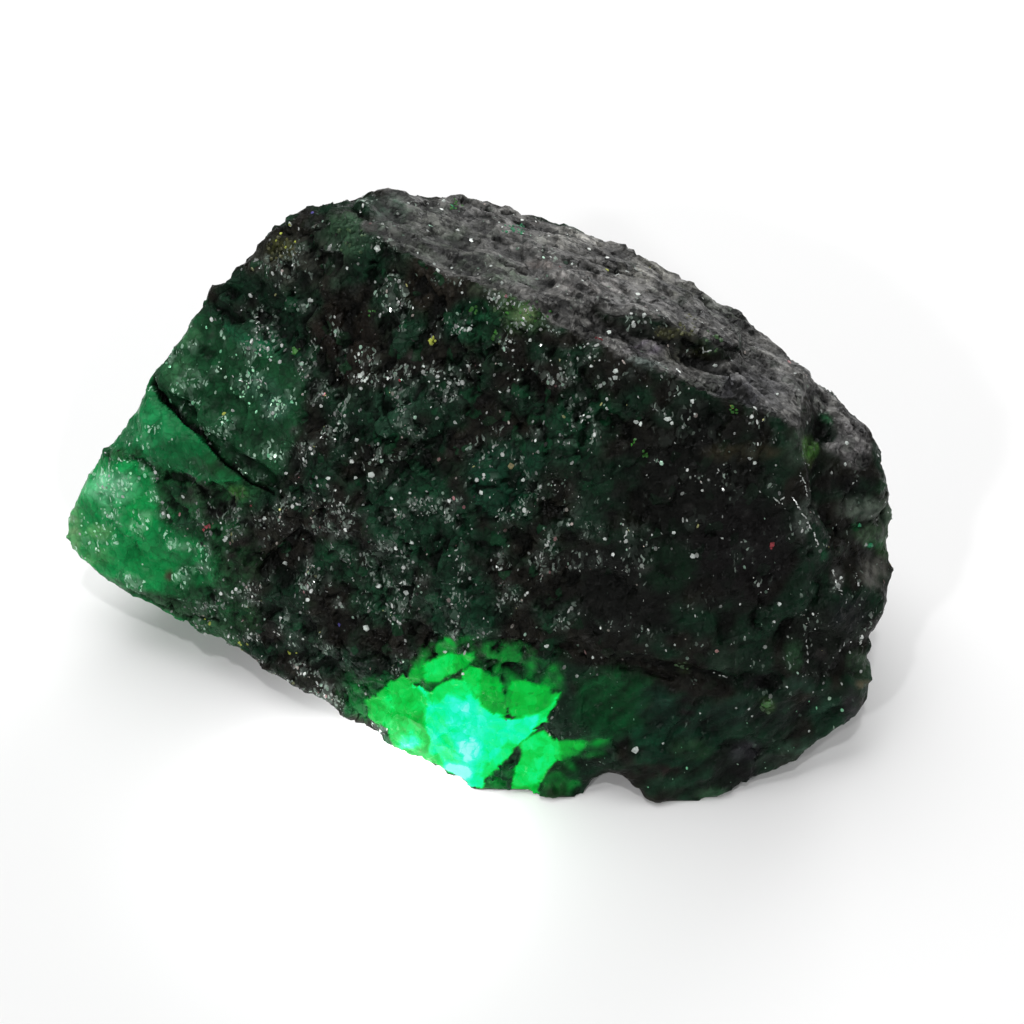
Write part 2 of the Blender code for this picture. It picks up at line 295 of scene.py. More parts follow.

# Facets of the window where the torch light shining through is painted on as glow, painted in this order:
# name, level, corners.
PAINTED_GLOW_FACETS = (
    ("fringe field", 0.21, (
        (410, 664), (430, 640), (470, 636), (520, 644), (560, 664), (566, 690), (556, 700), (500, 700),
        (430, 700),
    )),
    ("left field", 0.17, ((340, 690), (372, 676), (402, 672), (400, 700), (380, 730), (345, 712))),
    ("low pocket field", 0.20, (
        (546, 770), (562, 758), (576, 766), (580, 784), (570, 800), (545, 806), (538, 798),
    )),
    ("far streak field", 0.27, (
        (560, 740), (590, 740), (610, 737), (602, 752), (585, 757), (562, 760),
    )),
    ("top bit", 0.33, ((434, 654), (440, 642), (448, 640), (457, 645), (452, 653), (440, 657))),
    ("top right bit", 0.32, (
        (494, 654), (504, 646), (515, 648), (521, 656), (517, 664), (505, 665), (497, 661),
    )),
    ("small right bit", 0.22, ((522, 662), (534, 660), (540, 668), (530, 672))),
    ("left bit", 0.38, ((407, 679), (412, 668), (424, 663), (429, 671), (423, 679), (414, 683))),
    ("left foot", 0.46, ((366, 706), (374, 700), (384, 712), (388, 726), (378, 726), (366, 716))),
    ("left facet", 0.50, (
        (366, 702), (383, 689), (402, 673), (412, 681), (420, 692), (428, 700), (426, 722), (430, 742),
        (436, 760), (420, 760), (392, 745), (386, 728), (378, 712),
    )),
    ("upper facet", 0.59, (
        (422, 669), (432, 660), (446, 655), (458, 655), (456, 672), (442, 680), (428, 681),
    )),
    ("upper facet, right", 0.46, ((456, 656), (471, 652), (472, 659), (463, 668), (455, 674))),
    ("middle facet", 0.55, (
        (468, 665), (481, 669), (484, 690), (481, 704), (470, 694), (461, 684), (463, 672),
    )),
    ("middle facet, right", 0.42, (
        (480, 669), (496, 677), (504, 694), (509, 713), (505, 719), (491, 713), (479, 703),
    )),
    ("right facet", 0.44, (
        (509, 683), (530, 680), (548, 686), (551, 694), (560, 693), (556, 702), (547, 711), (520, 717),
        (511, 714), (505, 698),
    )),
    ("body", 0.82, (
        (412, 683), (422, 688), (432, 692), (440, 685), (452, 680), (463, 683), (471, 693), (480, 704),
        (492, 713), (506, 719), (521, 717), (546, 710), (549, 713), (541, 725), (529, 735), (518, 745),
        (508, 755), (498, 768), (488, 778), (480, 792), (440, 792), (425, 765), (430, 742), (426, 720),
        (428, 700),
    )),
    ("body, upper edge", 0.66, (
        (426, 694), (440, 685), (452, 680), (463, 683), (472, 694), (462, 700), (448, 694), (434, 706),
    )),
    ("body, right tip", 0.62, (
        (538, 712), (546, 709), (556, 699), (562, 692), (554, 707), (545, 722), (538, 726),
    )),
    ("body, left foot", 0.60, ((426, 750), (437, 755), (441, 764), (438, 774), (424, 764))),
    ("body, right foot", 0.70, (
        (518, 745), (508, 755), (498, 768), (488, 779), (480, 775), (494, 756), (508, 742),
    )),
    ("rift", 0.14, (
        (509, 755), (521, 744), (520, 758), (514, 772), (509, 786), (503, 800), (488, 792), (490, 781),
        (499, 769),
    )),
    ("rift, lit foot", 0.31, ((484, 783), (497, 776), (508, 778), (506, 792), (498, 797), (484, 790))),
    ("lobe", 0.61, (
        (521, 743), (530, 736), (543, 730), (551, 737), (562, 742), (560, 760), (553, 766), (547, 772),
        (541, 781), (537, 800), (512, 802), (511, 788), (516, 771), (520, 756),
    )),
    ("lobe, right end, a bit", 0.45, (
        (560, 741), (576, 740), (587, 742), (580, 752), (568, 757), (560, 758),
    )),
    ("lobe, foot", 0.42, ((513, 784), (540, 784), (537, 804), (508, 804))),
)
# Hot and dim places of the painted glow on those facets: middle, half width and half height, change of
# level.
PAINTED_GLOW_SPOTS = (
    ((404, 734), (24, 20), 0.10),
    ((409, 741), (14, 10), 0.28),
    ((392, 700), (12, 9), 0.08),
    ((430, 705), (10, 8), 0.06),
    ((459, 706), (15, 15), 0.08),
    ((455, 722), (10, 8), 0.08),
    ((461, 736), (9, 9), 0.12),
    ((471, 750), (14, 14), 0.19),
    ((456, 772), (17, 12), 0.25),
    ((532, 720), (14, 8), 0.04),
    ((446, 752), (12, 10), -0.08),
    ((416, 708), (10, 10), 0.08),
    ((486, 770), (14, 10), -0.05),
    ((540, 765), (10, 12), 0.05),
    ((500, 708), (10, 8), -0.06),
)

# The colour of the painted glow at each level: emission standing in for the torch light shining through.
GLOW_STRENGTH = 0.95
GLOW = (
    (0.05, (0, 0, 0)),
    (0.15, (0.0, 0.026, 0.004)),
    (0.25, (0.001, 0.10, 0.012)),
    (0.35, (0.001, 0.25, 0.024)),
    (0.45, (0.001, 0.45, 0.034)),
    (0.55, (0.001, 0.63, 0.065)),
    (0.65, (0.001, 0.82, 0.13)),
    (0.75, (0.001, 0.94, 0.27)),
    (0.85, (0.004, 0.96, 0.50)),
    (0.93, (0.04, 0.98, 0.74)),
    (1.0, (0.30, 1.0, 0.94)),
)

# Grains that stand out: kind, place, size.
NAMED_GRAINS = (
    ("white", (-8.9, -11.9, 11.4), 0.8),
    ("white", (13.7, -19.7, 5.0), 0.8),
    ("white", (-8.0, -5.8, 24.1), 0.7),
    ("white", (-8.7, -0.1, 30.0), 0.8),
    ("white", (-11.5, -5.0, 22.9), 0.6),
    ("white", (15.7, -5.7, 30.7), 0.6),
    ("white", (13.5, -5.8, 30.2), 0.5),
    ("white", (1.8, 4.8, 37.0), 0.4),
    ("white", (-5.5, -10.9, 15.2), 0.7),
    ("white", (-7.6, -10.2, 14.9), 0.6),
    ("white", (-16.2, -7.1, 13.4), 0.6),
    ("white", (-21.0, -4.8, 14.8), 0.6),
    ("white", (-17.4, -4.6, 17.3), 0.6),
    ("white", (11.5, -3.4, 33.1), 0.6),
    ("white", (-0.1, 0.2, 34.7), 0.6),
    ("white", (-5.1, -12.0, 14.0), 0.4),
    ("white", (19.1, -18.0, 8.1), 0.3),
    ("tan", (3.3, -6.6, 26.2), 0.9),
    ("yellow", (-2.9, 0.2, 33.7), 0.6),
    ("yellow", (11.4, 8.0, 34.1), 0.5),
    ("yellow", (20.7, -5.0, 31.3), 0.5),
    ("yellow", (-20.6, 0.9, 24.2), 0.5),
    ("yellow", (-14.7, 10.0, 36.9), 0.4),
    ("yellow", (-20.3, -8.7, 4.2), 0.4),
    ("red", (24.4, -10.8, 21.3), 0.8),
    ("red", (-5.6, -1.1, 30.3), 0.4),
    ("red", (-22.7, -3.7, 15.0), 0.5),
    ("red", (-18.6, -3.8, 17.9), 0.3),
    ("pink", (20.2, -15.5, 13.4), 0.5),
    ("red", (14.1, 4.1, 34.2), 0.3),
    ("violet", (-12.9, 11.1, 37.5), 0.5),
    ("violet", (-11.2, -10.9, 10.7), 0.5),
    ("leaf green", (24.7, -17.6, 8.5), 1.0),
    ("leaf green", (0.2, 0.9, 36.2), 0.6),
    ("leaf green", (1.8, -0.8, 34.9), 0.7),
    ("leaf green", (14.0, -7.3, 28.2), 0.6),
    ("sea green", (-1.4, 13.9, 35.7), 0.7),
    ("sea green", (3.4, 11.3, 35.2), 0.8),
    ("leaf green", (-14.4, 3.1, 29.5), 0.7),
    ("sea green", (33.5, -6.6, 16.1), 0.8),
    ("sea green", (32.1, -5.5, 17.8), 0.6),
    ("white", (-7.3, 6.5, 37.6), 0.6),
    ("white", (-20.7, -0.5, 22.5), 0.4),
    ("white", (-13.0, 5.4, 32.9), 0.4),
    ("white", (22.8, -7.5, 27.5), 0.4),
    ("white", (30.7, -9.6, 15.6), 0.5),
)
# Clusters of small coloured grains on the best side: kind, middle, half width and half height, count, size.
GRAIN_CLUSTERS = (
    ("sea green", (515, 229), (13, 6), 22, 0.34),
    ("leaf green", (454, 205), (9, 6), 12, 0.34),
    ("white", (505, 225), (8, 5), 4, 0.25),
    ("olive", (279, 250), (17, 13), 26, 0.45),
    ("yellow", (283, 240), (14, 8), 4, 0.40),
    ("moss", (352, 240), (18, 14), 12, 0.45),
    ("moss", (520, 314), (30, 16), 18, 0.42),
    ("leaf green", (530, 312), (24, 12), 12, 0.38),
    ("leaf green", (473, 311), (5, 6), 5, 0.38),
    ("leaf green", (495, 335), (7, 5), 6, 0.38),
    ("yellow", (432, 340), (5, 5), 5, 0.38),
    ("leaf green", (297, 351), (5, 7), 8, 0.38),
    ("leaf green", (372, 314), (10, 4), 5, 0.34),
    ("leaf green", (733, 410), (5, 7), 6, 0.42),
    ("leaf green", (644, 454), (4, 6), 5, 0.48),
    ("leaf green", (634, 442), (4, 4), 3, 0.40),
    ("olive", (688, 325), (9, 13), 16, 0.45),
    ("olive", (668, 332), (13, 7), 10, 0.40),
    ("moss", (712, 342), (10, 12), 8, 0.45),
    ("moss", (768, 706), (8, 7), 8, 0.45),
    ("moss", (683, 668), (9, 7), 8, 0.40),
    ("yellow", (210, 620), (6, 4), 3, 0.34),
    ("yellow", (243, 643), (5, 4), 3, 0.38),
    ("yellow", (293, 651), (5, 4), 3, 0.36),
    ("moss", (237, 493), (11, 9), 12, 0.45),
    ("red", (206, 526), (5, 5), 5, 0.36),
    ("red", (600, 338), (4, 3), 3, 0.36),
    ("red", (770, 546), (4, 3), 3, 0.36),
    # painted glints: clusters of white grains where the mica sparkles
    ("white", (448, 382), (20, 5), 7, 0.32),
    ("white", (422, 372), (12, 6), 5, 0.30),
    ("white", (365, 378), (14, 5), 7, 0.34),
    ("white", (466, 328), (8, 9), 7, 0.34),
    ("white", (267, 522), (18, 7), 6, 0.30),
    ("white", (455, 375), (22, 9), 5, 0.28),
    ("white", (520, 372), (26, 8), 5, 0.26),
    # painted glints: clusters of pale green grains where the emerald sparkles
    ("pale green", (112, 482), (26, 14), 26, 0.36),
    ("pale green", (100, 522), (24, 14), 14, 0.34),
    ("pale green", (250, 384), (22, 14), 14, 0.32),
    ("pale green", (272, 410), (14, 12), 8, 0.32),
)
# Painted highlights on the lit edges of the mica, drawn as trails of pale flakes on the best side: how many
# flakes, and the line.
GLINT_TRAILS = (
    (22, ((792, 497), (799, 508), (808, 522), (814, 534), (818, 546))),
    (12, ((832, 568), (835, 578), (838, 587), (842, 594))),
    (7, ((774, 497), (779, 502), (784, 497))),
    (9, ((800, 474), (806, 486), (808, 498))),
    (4, ((712, 671), (720, 675), (733, 678))),
    (7, ((806, 640), (808, 652), (807, 664))),
    (8, ((702, 348), (704, 352), (712, 351))),
    (10, ((232, 375), (246, 383), (258, 379), (266, 384))),
)
GRAIN_COLOURS = {
    "white": (0.62, 0.68, 0.64),
    "tan": (0.42, 0.36, 0.18),
    "yellow": (0.46, 0.52, 0.08),
    "red": (0.26, 0.035, 0.045),
    "pink": (0.55, 0.30, 0.28),
    "violet": (0.12, 0.10, 0.45),
    "leaf green": (0.04, 0.18, 0.025),
    "sea green": (0.02, 0.24, 0.10),
    "olive": (0.075, 0.078, 0.030),
    "moss": (0.055, 0.115, 0.045),
    "pale green": (0.40, 0.85, 0.52),
}

# Painted glints: white grains placed on the drawing of the best side where it sparkles: marks, size.
PAINTED_GLINT_GRAINS = (
    ((310, 300), 0.55), ((365, 381), 0.45), ((435, 265), 0.45), ((460, 283), 0.40), ((502, 283), 0.40),
    ((418, 253), 0.35), ((375, 282), 0.35), ((347, 268), 0.35), ((468, 330), 0.50), ((480, 365), 0.40),
    ((450, 383), 0.50), ((437, 418), 0.40), ((455, 422), 0.45), ((357, 440), 0.55), ((328, 478), 0.45),
    ((363, 505), 0.45), ((481, 493), 0.55), ((523, 480), 0.45), ((412, 543), 0.50), ((273, 413), 0.45),
    ((270, 360), 0.40), ((538, 452), 0.35), ((530, 340), 0.35), ((500, 392), 0.35), ((315, 339), 0.45),
    ((615, 371), 0.55), ((610, 379), 0.40), ((607, 399), 0.50), ((607, 409), 0.40), ((636, 422), 0.50),
    ((667, 419), 0.50), ((672, 423), 0.40), ((692, 401), 0.40), ((695, 414), 0.40), ((683, 427), 0.40),
    ((715, 366), 0.45), ((777, 394), 0.35), ((847, 443), 0.50), ((845, 464), 0.40), ((853, 483), 0.40),
    ((779, 604), 0.45), ((693, 556), 0.55), ((674, 533), 0.40), ((605, 539), 0.40), ((722, 538), 0.35),
    ((838, 586), 0.70), ((866, 545), 0.50), ((377, 249), 0.65), ((408, 203), 0.40), ((434, 264), 0.40),
    ((572, 264), 0.35), ((644, 315), 0.50), ((609, 332), 0.45), ((169, 516), 0.60), ((183, 497), 0.45),
    ((225, 540), 0.55), ((210, 444), 0.45), ((233, 411), 0.45), ((202, 568), 0.40), ((308, 600), 0.50),
    ((109, 476), 0.40), ((103, 487), 0.45), ((123, 497), 0.45), ((80, 534), 0.35), ((546, 646), 0.55),
    ((593, 657), 0.40), ((577, 676), 0.40), ((445, 652), 0.40), ((463, 674), 0.35), ((636, 748), 0.45),
    ((736, 708), 0.30), ((749, 709), 0.32), ((752, 716), 0.28), ((787, 687), 0.32), ((842, 684), 0.34),
    ((813, 692), 0.30), ((850, 652), 0.36), ((675, 645), 0.30), ((809, 731), 0.28), ((663, 743), 0.30),
    ((600, 338), 0.30), ((597, 345), 0.34), ((443, 195), 0.50), ((438, 270), 0.45), ((452, 268), 0.35),
    ((290, 225), 0.50), ((356, 478), 0.50), ((518, 380), 0.35), ((478, 372), 0.40), ((468, 366), 0.45),
)
# Places on the best side where the mica glitters most: middle, half width and half height, strength.
GLITTER_SPOTS = (
    ((112, 484), (28, 20), 1.0),
    ((90, 545), (24, 14), 0.6),
    ((300, 262), (40, 22), 0.5),
    ((560, 505), (40, 26), 0.45),
    ((500, 450), (40, 24), 0.45),
    ((112, 522), (12, 8), 0.8),
    ((250, 382), (22, 14), 0.9),
    ((272, 408), (16, 14), 0.9),
    ((190, 374), (12, 10), 0.7),
    ((205, 568), (12, 8), 0.6),
    ((268, 520), (26, 12), 1.0),
    ((320, 388), (30, 12), 0.8),
    ((362, 376), (14, 10), 0.9),
    ((440, 374), (26, 12), 0.9),
    ((463, 322), (12, 16), 0.9),
    ((408, 415), (12, 16), 0.8),
    ((317, 500), (20, 12), 0.8),
    ((397, 512), (16, 10), 0.8),
    ((450, 512), (12, 14), 0.8),
    ((300, 580), (22, 10), 0.8),
    ((805, 520), (8, 22), 0.6),
    ((835, 580), (6, 14), 0.9),
)
# Places on the best side where it hardly glitters at all: middle, half width and half height, strength.
QUIET_SPOTS = (
    ((665, 333), (80, 18), 1.0),
    ((705, 655), (115, 65), 0.6),
)
# Lumps that fill the deepest notches at the right end: name, middle, half sizes.
FILLINGS = (
    ("upper notch", (32.0, -2.9, 19.2), (3.4, 3.0, 2.7)),
    ("upper notch, inner end", (29.6, -4.9, 19.6), (2.3, 2.3, 2.4)),
    ("lower notch", (31.0, -10.3, 11.0), (3.2, 2.6, 2.5)),
    ("under the lump", (32.8, -9.4, 11.4), (2.2, 2.3, 2.4)),
)

# What loose grains and flakes are made of: share, colour; the flakes' near white is partly pale mica and
# partly a painted glint.
GRAIN_MIX = ((0.5, (0.012, 0.012, 0.010)), (0.42, (0.007, 0.036, 0.018)), (0.08, (0.07, 0.09, 0.075)))
FLAKE_AND_GLINT_MIX = (
    (0.74, (0.86, 0.90, 0.87)),
    (0.16, (0.42, 0.64, 0.50)),
    (0.06, (0.66, 0.56, 0.52)),
    (0.02, (0.66, 0.66, 0.26)),
    (0.02, (0.50, 0.22, 0.24)),
)
GREEN_FLAKE_AND_GLINT_MIX = ((0.6, (0.30, 0.85, 0.48)), (0.4, (0.62, 0.92, 0.70)))
# The dimmest flake of each mix, as a share of its full colour: the spread of the painted glints from dim to
# bright.
FLAKE_DIMMEST = 0.14
GREEN_FLAKE_DIMMEST = 0.55

# How flakes sit: the height of their middles over the stone, and how far a trail's flakes stray, in marks.
FLAKE_LIFT = 0.02
TRAIL_STRAY = 0.8
ANY_TURN = 3.1  # a shape that may be turned any way about the direction it stands in

# Lamps, in the order they are made: name, place and size in metres, power in watts.
LAMP_TARGET = Vector((0, 0, 0.015))
TORCH_SPILL = ("torch spill", (-0.009, -0.023, 0.006), 0.006, 0.004)
FAR_LAMPS = (
    ("softbox behind", (0.25, 0.55, 0.22), 0.3, 1.6),
    ("spark lamp front", (0.12, -0.45, 0.30), 0.03, 0.5),
    ("spark lamp left", (-0.25, -0.35, 0.35), 0.03, 0.5),
    ("spark lamp top", (0.0, -0.12, 0.55), 0.03, 0.5),
)
BACKDROP_STRENGTH = 0.92
LENS = 70
SENSOR = 36


def smooth(low, high, x):
    """0 below low, 1 above high and a soft ramp between, or the other way round where low is the larger."""
    t = np.clip((x - low) / (high - low), 0.0, 1.0)
    return t * t * (3 - 2 * t)


def noise_at(points, size, shift=0.0):
    """Even noise, from about -0.5 to 0.5, with swells of one size; a shift gives another pattern."""
    return np.array([noise.noise(Vector(p)) for p in points / size + shift])


def fractured(points, size, tilt):
    """Height of flat chips of one size, each leaning its own way."""
    heights = np.empty(len(points))
    for i, p in enumerate(points / size):
        p = Vector(p)
        centre = noise.voronoi(p)[1][0]
        lean = noise.cell_vector(centre * 7) - Vector((0.5, 0.5, 0.5))
        heights[i] = (p - centre).dot(lean)
    return heights * tilt * size


def cell_shifts(points, size):
    """A random direction for each chip, shared by all the points on it."""
    cells = (noise.cell_vector(noise.voronoi(Vector(p))[1][0] * 7) for p in points / size)
    return np.array([tuple(cell) for cell in cells]) - 0.5


def near_place(points, centre, radius):
    """1 in the middle of a ball, 0 on its surface, below 0 outside."""
    return 1 - np.linalg.norm(points - np.array(centre), axis=1) / radius


# ---------------------------------------------------------------- the drawing of the best side


def front_marks(points):
    """Where points are seen on the drawing of the best side, across and down."""
    away = points - np.array(FRONT_EYE)
    up = away[:, 1] * math.cos(FRONT_TIP) + away[:, 2] * math.sin(FRONT_TIP)
    depth = away[:, 1] * math.sin(FRONT_TIP) - away[:, 2] * math.cos(FRONT_TIP)
    return FRONT_CENTRE + FRONT_REACH * away[:, 0] / depth, FRONT_CENTRE - FRONT_REACH * up / depth


def front_facing(points, normals):
    """1 where the surface is turned to the best side, 0 where it is turned away."""
    away = np.array(FRONT_EYE) - points
    return smooth(-0.05, 0.12, (away * normals).sum(1) / np.linalg.norm(away, axis=1))


def line_distance(across, down, start, end):
    """How far each place is from a piece of line, and how far along it the nearest place lies, 0 to 1."""
    (ax, ay), (bx, by) = start, end
    t = ((across - ax) * (bx - ax) + (down - ay) * (by - ay)) / ((bx - ax) ** 2 + (by - ay) ** 2)
    t = np.clip(t, 0.0, 1.0)
    return np.hypot(across - ax - t * (bx - ax), down - ay - t * (by - ay)), t


def area_cover(across, down, corners, soft):
    """How far each place lies within an outline: 1 well inside, 0 outside."""
    inside = np.zeros(len(across), bool)
    nearest = np.full(len(across), 1e9)
    for (ax, ay), (bx, by) in zip(corners, corners[1:] + corners[:1]):
        nearest = np.minimum(nearest, line_distance(across, down, (ax, ay), (bx, by))[0])
        if ay != by:
            inside ^= ((ay > down) != (by > down)) & (across < (bx - ax) * (down - ay) / (by - ay) + ax)
    return smooth(-soft, 0.6 * soft, np.where(inside, nearest, -nearest))


def spot_cover(across, down, middle, halves):
    """1 in the middle of an oval spot, 0 well outside it."""
    reach = np.hypot((across - middle[0]) / halves[0], (down - middle[1]) / halves[1])
    return 1 - smooth(0.45, 1.15, reach)


def seam_cover(across, down, wander):
    """1 in the open crack, less in the shallower seams, 0 beside them."""
    cover = np.zeros(len(across))
    for _, depth, (wide, narrow), line in SEAMS:
        for i, (start, end) in enumerate(zip(line, line[1:])):
            distance, t = line_distance(across, down, start, end)
            width = (wide + (narrow - wide) * (i + t) / (len(line) - 1)) * (1 + 0.6 * wander)
            cover = np.maximum(cover, depth * (1 - smooth(0.5 * width, 1.3 * width, distance)))
    return cover


def painted_glow_levels(across, down):
    """How bright the painted glow is, the torch light shining through given as emission: 0 none, 0.5 full
    green, 1 near white.
    """
    level = np.zeros(len(across))
    for name, facet_level, corners in PAINTED_GLOW_FACETS:
        soft = 9 if "field" in name else 4 if "bit" in name else 2
        cover = area_cover(across, down, corners, soft)
        level += (facet_level - level) * cover
    lit = smooth(0.38, 0.5, level)
    for middle, halves, change in PAINTED_GLOW_SPOTS:
        level += change * spot_cover(across, down, middle, halves) * lit
    return level


# ---------------------------------------------------------------- zones of the stone


class Zones:
    """What each point of the skin is made of."""

    def __init__(self, points, broad_normals):
        self.points = points
        x, y, z = points.T
        slow, quick, fine = noise_at(points, 5.0), noise_at(points, 1.9), noise_at(points, 0.9)

        # what the drawing of the best side shows, with every edge a little ragged
        self.broken = np.clip(0.78 + 1.1 * noise_at(points, 0.8, 21.0), 0.2, 1.0)
        self.seen = front_facing(points, broad_normals)
        across, down = front_marks(points)
        self.across = across + 2.5 * quick + 2.0 * noise_at(points, 0.7, 9.0)
        self.down = down + 2.5 * noise_at(points, 1.9, 5.0) + 2.0 * fine
        # the painted glow: how brightly the torch light is painted as shining through, chip by chip
        chips = cell_shifts(points, 0.9) * 4
        self.window = painted_glow_levels(across + chips[:, 0] + fine, down + chips[:, 1] + quick) * self.seen
        self.window *= 1 + 0.8 * smooth(0.36, 0.26, self.window) * noise_at(points, 0.9, 31.0)
        # the cracks and seams, which are cut into the skin and painted dark as shade
        self.crack = seam_cover(across + quick, down + 1.5 * fine, fine) * self.seen

        # the green end
        wander = slow * 2.0 + quick * 1.2
        behind = smooth(-0.9, 0.9, GREEN_END_EDGE - x + wander - 0.08 * (z - 14))
        self.areas = areas = {}
        for name, _, soft, corners in FRONT_AREAS:
            areas[name] = area_cover(self.across, self.down, corners, soft)
        clean = np.maximum(areas["upper face"], areas["lobe"])
        self.green_end = behind * (1 - self.seen) + clean * self.seen

        # the foot, the bedding faces, and the mica between them
        ledge = LEDGE_HEIGHT - 0.17 * (x - 8) + quick * 1.2
        self.foot = smooth(-0.6, 0.8, ledge - z) * smooth(6, 9, x) * (y < -8)
        facing = broad_normals @ np.array(POLE) + quick * 0.10 + slow * 0.06
        start = x + slow * 3 + quick * 1.5 + 0.25 * (y - 8)
        self.bedding = smooth(0.78, 0.90, facing) * smooth(15, 19, z) * smooth(-10, -3, start)
        self.bedding *= 1 - self.green_end
        mica = 1 - 0.8 * smooth(4, 16, x + 0.35 * (22 - z) + slow * 5)
        mica = np.where(y > 6, np.maximum(mica, 0.5), mica)
        quiet = np.zeros(len(points))
        for middle, halves, strength in QUIET_SPOTS:
            spot = strength * spot_cover(self.across, self.down, middle, halves)
            quiet = np.maximum(quiet, spot * self.seen)
        self.mica = mica * (1 - 0.8 * self.foot) * (1 - 0.85 * self.bedding) * (1 - 0.7 * quiet)
        teal = areas["teal block"] * self.seen * 0.6
        lit = smooth(0.1, 0.3, self.window)
        self.waxy = np.maximum.reduce((self.green_end, teal, self.foot * 0.4, lit))
        self.colours = self.make_colours()

        # where it glitters: in clusters, more of them in the mica and on the pale green
        cluster = smooth(0.02, 0.40, noise_at(points, 2.4, 2.0) * 0.8 + noise_at(points, 1.0, 6.0) * 0.5)
        pale = smooth(0.03, 0.09, self.colours[:, 1]) * (areas["teal block"] + areas["lobe"]) * self.seen
        share = cluster * (0.05 + 0.95 * self.mica) * (1 - 0.7 * self.waxy)
        self.glitter = np.clip(share + 0.8 * pale * cluster, 0, 1)
        for middle, halves, strength in GLITTER_SPOTS:
            placed = spot_cover(self.across, self.down, middle, halves) * self.seen * (0.6 + 0.8 * quick)
            self.glitter = np.maximum(self.glitter, strength * np.clip(placed, 0, 1))
        self.glitter *= 1 - smooth(0.08, 0.2, self.window)

    def make_colours(self):
        """The broad colour of each point, before grain and flecks."""
        points = self.points
        wander = noise_at(points, 2.4) * 0.28 + noise_at(points, 0.9, 3.0) * 0.14
        cloud = noise_at(points, 4.2, 3.0) + 0.6 * noise_at(points, 1.5, 8.0)
        colours = painted(np.tile(DARK_BROWN, (len(points), 1)), DARK_GREEN, smooth(-0.30, 0.30, cloud))
        for _, centre, radius, colour in PATCHES:
            cover = smooth(-0.05, 0.45, near_place(points, centre, radius) + wander)
            colours = painted(colours, colour, cover)
        shaded = smooth(6, 14, points[:, 0]) * (1 - self.foot)
        colours *= 1 - 0.28 * shaded[:, None]
        behind = self.green_end * (1 - self.seen)
        colours = painted(colours, GREEN_BEHIND, behind)
        colours = painted(colours, DEEP_GREEN, behind * smooth(0.0, 0.35, cloud))
        colours = painted(colours, PALE_GREEN, behind * smooth(0.1, 0.45, noise_at(points, 2.2, 14.0)))
        for name, colour, _, _ in FRONT_AREAS:
            colours = painted(colours, colour, self.areas[name] * self.seen)
        bedding = np.tile(BEDDING_GREY, (len(points), 1))
        for spots, target in ((FRONT_SPOTS, colours), (BEDDING_SPOTS, bedding)):
            for _, colour, middle, halves in spots:
                cover = spot_cover(self.across, self.down, middle, halves) * self.seen * self.broken
                target[:] = painted(target, colour, cover)
        streaks = noise_at(points @ FOOT_GRAIN, FOOT_STREAK, 2.0)
        colours *= 1 + (0.9 * streaks * self.foot * self.seen)[:, None]
        colours = painted(colours, UNDER_THE_GLOW, smooth(0.15, 0.4, self.window))
        return painted(colours, bedding, smooth(0.25, 0.6, self.bedding + 0.5 * noise_at(points, 1.3, 7.0)))


def painted(under, colour, cover):
    """Colours with another laid over them, as thickly as its cover says."""
    return under + (np.array(colour) - under) * cover[:, None]


# ---------------------------------------------------------------- the stone's skin


def mesh_of(bm, name):
    """Turns a bmesh into a mesh and frees it."""
    mesh = bpy.data.meshes.new(name)
    bm.to_mesh(mesh)
    bm.free()
    return mesh


def copied_solid():
    """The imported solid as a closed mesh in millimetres."""
    bm = bmesh.new()
    bm.from_mesh(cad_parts[NODE].data)
    bmesh.ops.remove_doubles(bm, verts=bm.verts, dist=1e-6)
    bmesh.ops.scale(bm, vec=(1 / MM, 1 / MM, 1 / MM), verts=bm.verts)
    bm.normal_update()
    return bm


def grain_shapes(rng, how_many):
    """Angular grains one unit across, each a jittered twenty-sided solid."""
    shapes = []
    for _ in range(how_many):
        bm = bmesh.new()
        bmesh.ops.create_icosphere(bm, subdivisions=1, radius=0.5)
        for v in bm.verts:
            v.co *= rng.uniform(0.72, 1.12)
            v.co += Vector([rng.uniform(-0.1, 0.1) for _ in range(3)])
        shapes.append(mesh_of(bm, "grain shape"))
    return shapes


def add_shape(bm, shape, place):
    """Adds a copy of a mesh to bm at a place, a matrix."""
    mesh = shape.copy()
    mesh.transform(place)
    bm.from_mesh(mesh)
    bpy.data.meshes.remove(mesh)


def scattered(faces, weights, how_many, rng):
    """Random points on some faces, more of them on the heavier ones, each with its face."""
    steps = np.cumsum([f.calc_area() * w for f, w in zip(faces, weights)])
    for _ in range(how_many):
        face = faces[min(int(np.searchsorted(steps, rng.random() * steps[-1])), len(faces) - 1)]
        corners = [v.co for v in face.verts]
        a, b = rng.random(), rng.random()
        if a + b > 1:
            a, b = 1 - a, 1 - b
        pick = rng.randrange(len(corners) - 2)
        p, q, r = corners[0], corners[pick + 1], corners[pick + 2]
        yield p + (q - p) * a + (r - p) * b, face


def seated(point, normal, along, sizes, rng, sway, spin):
    """A matrix that seats a shape on the stone: its Z leans out, and its Y lies along a direction."""
    out = (normal + Vector([rng.uniform(-sway, sway) for _ in range(3)])).normalized()
    side = along.cross(out)
    if side.length < 0.2:
        side = STREAK.cross(out)
    side = (Matrix.Rotation(rng.uniform(-spin, spin), 3, out) @ side).normalized()
    turn = Matrix((side, out.cross(side), out)).transposed().to_4x4()
    return Matrix.Translation(point) @ turn @ Matrix.Diagonal((*sizes, 1))


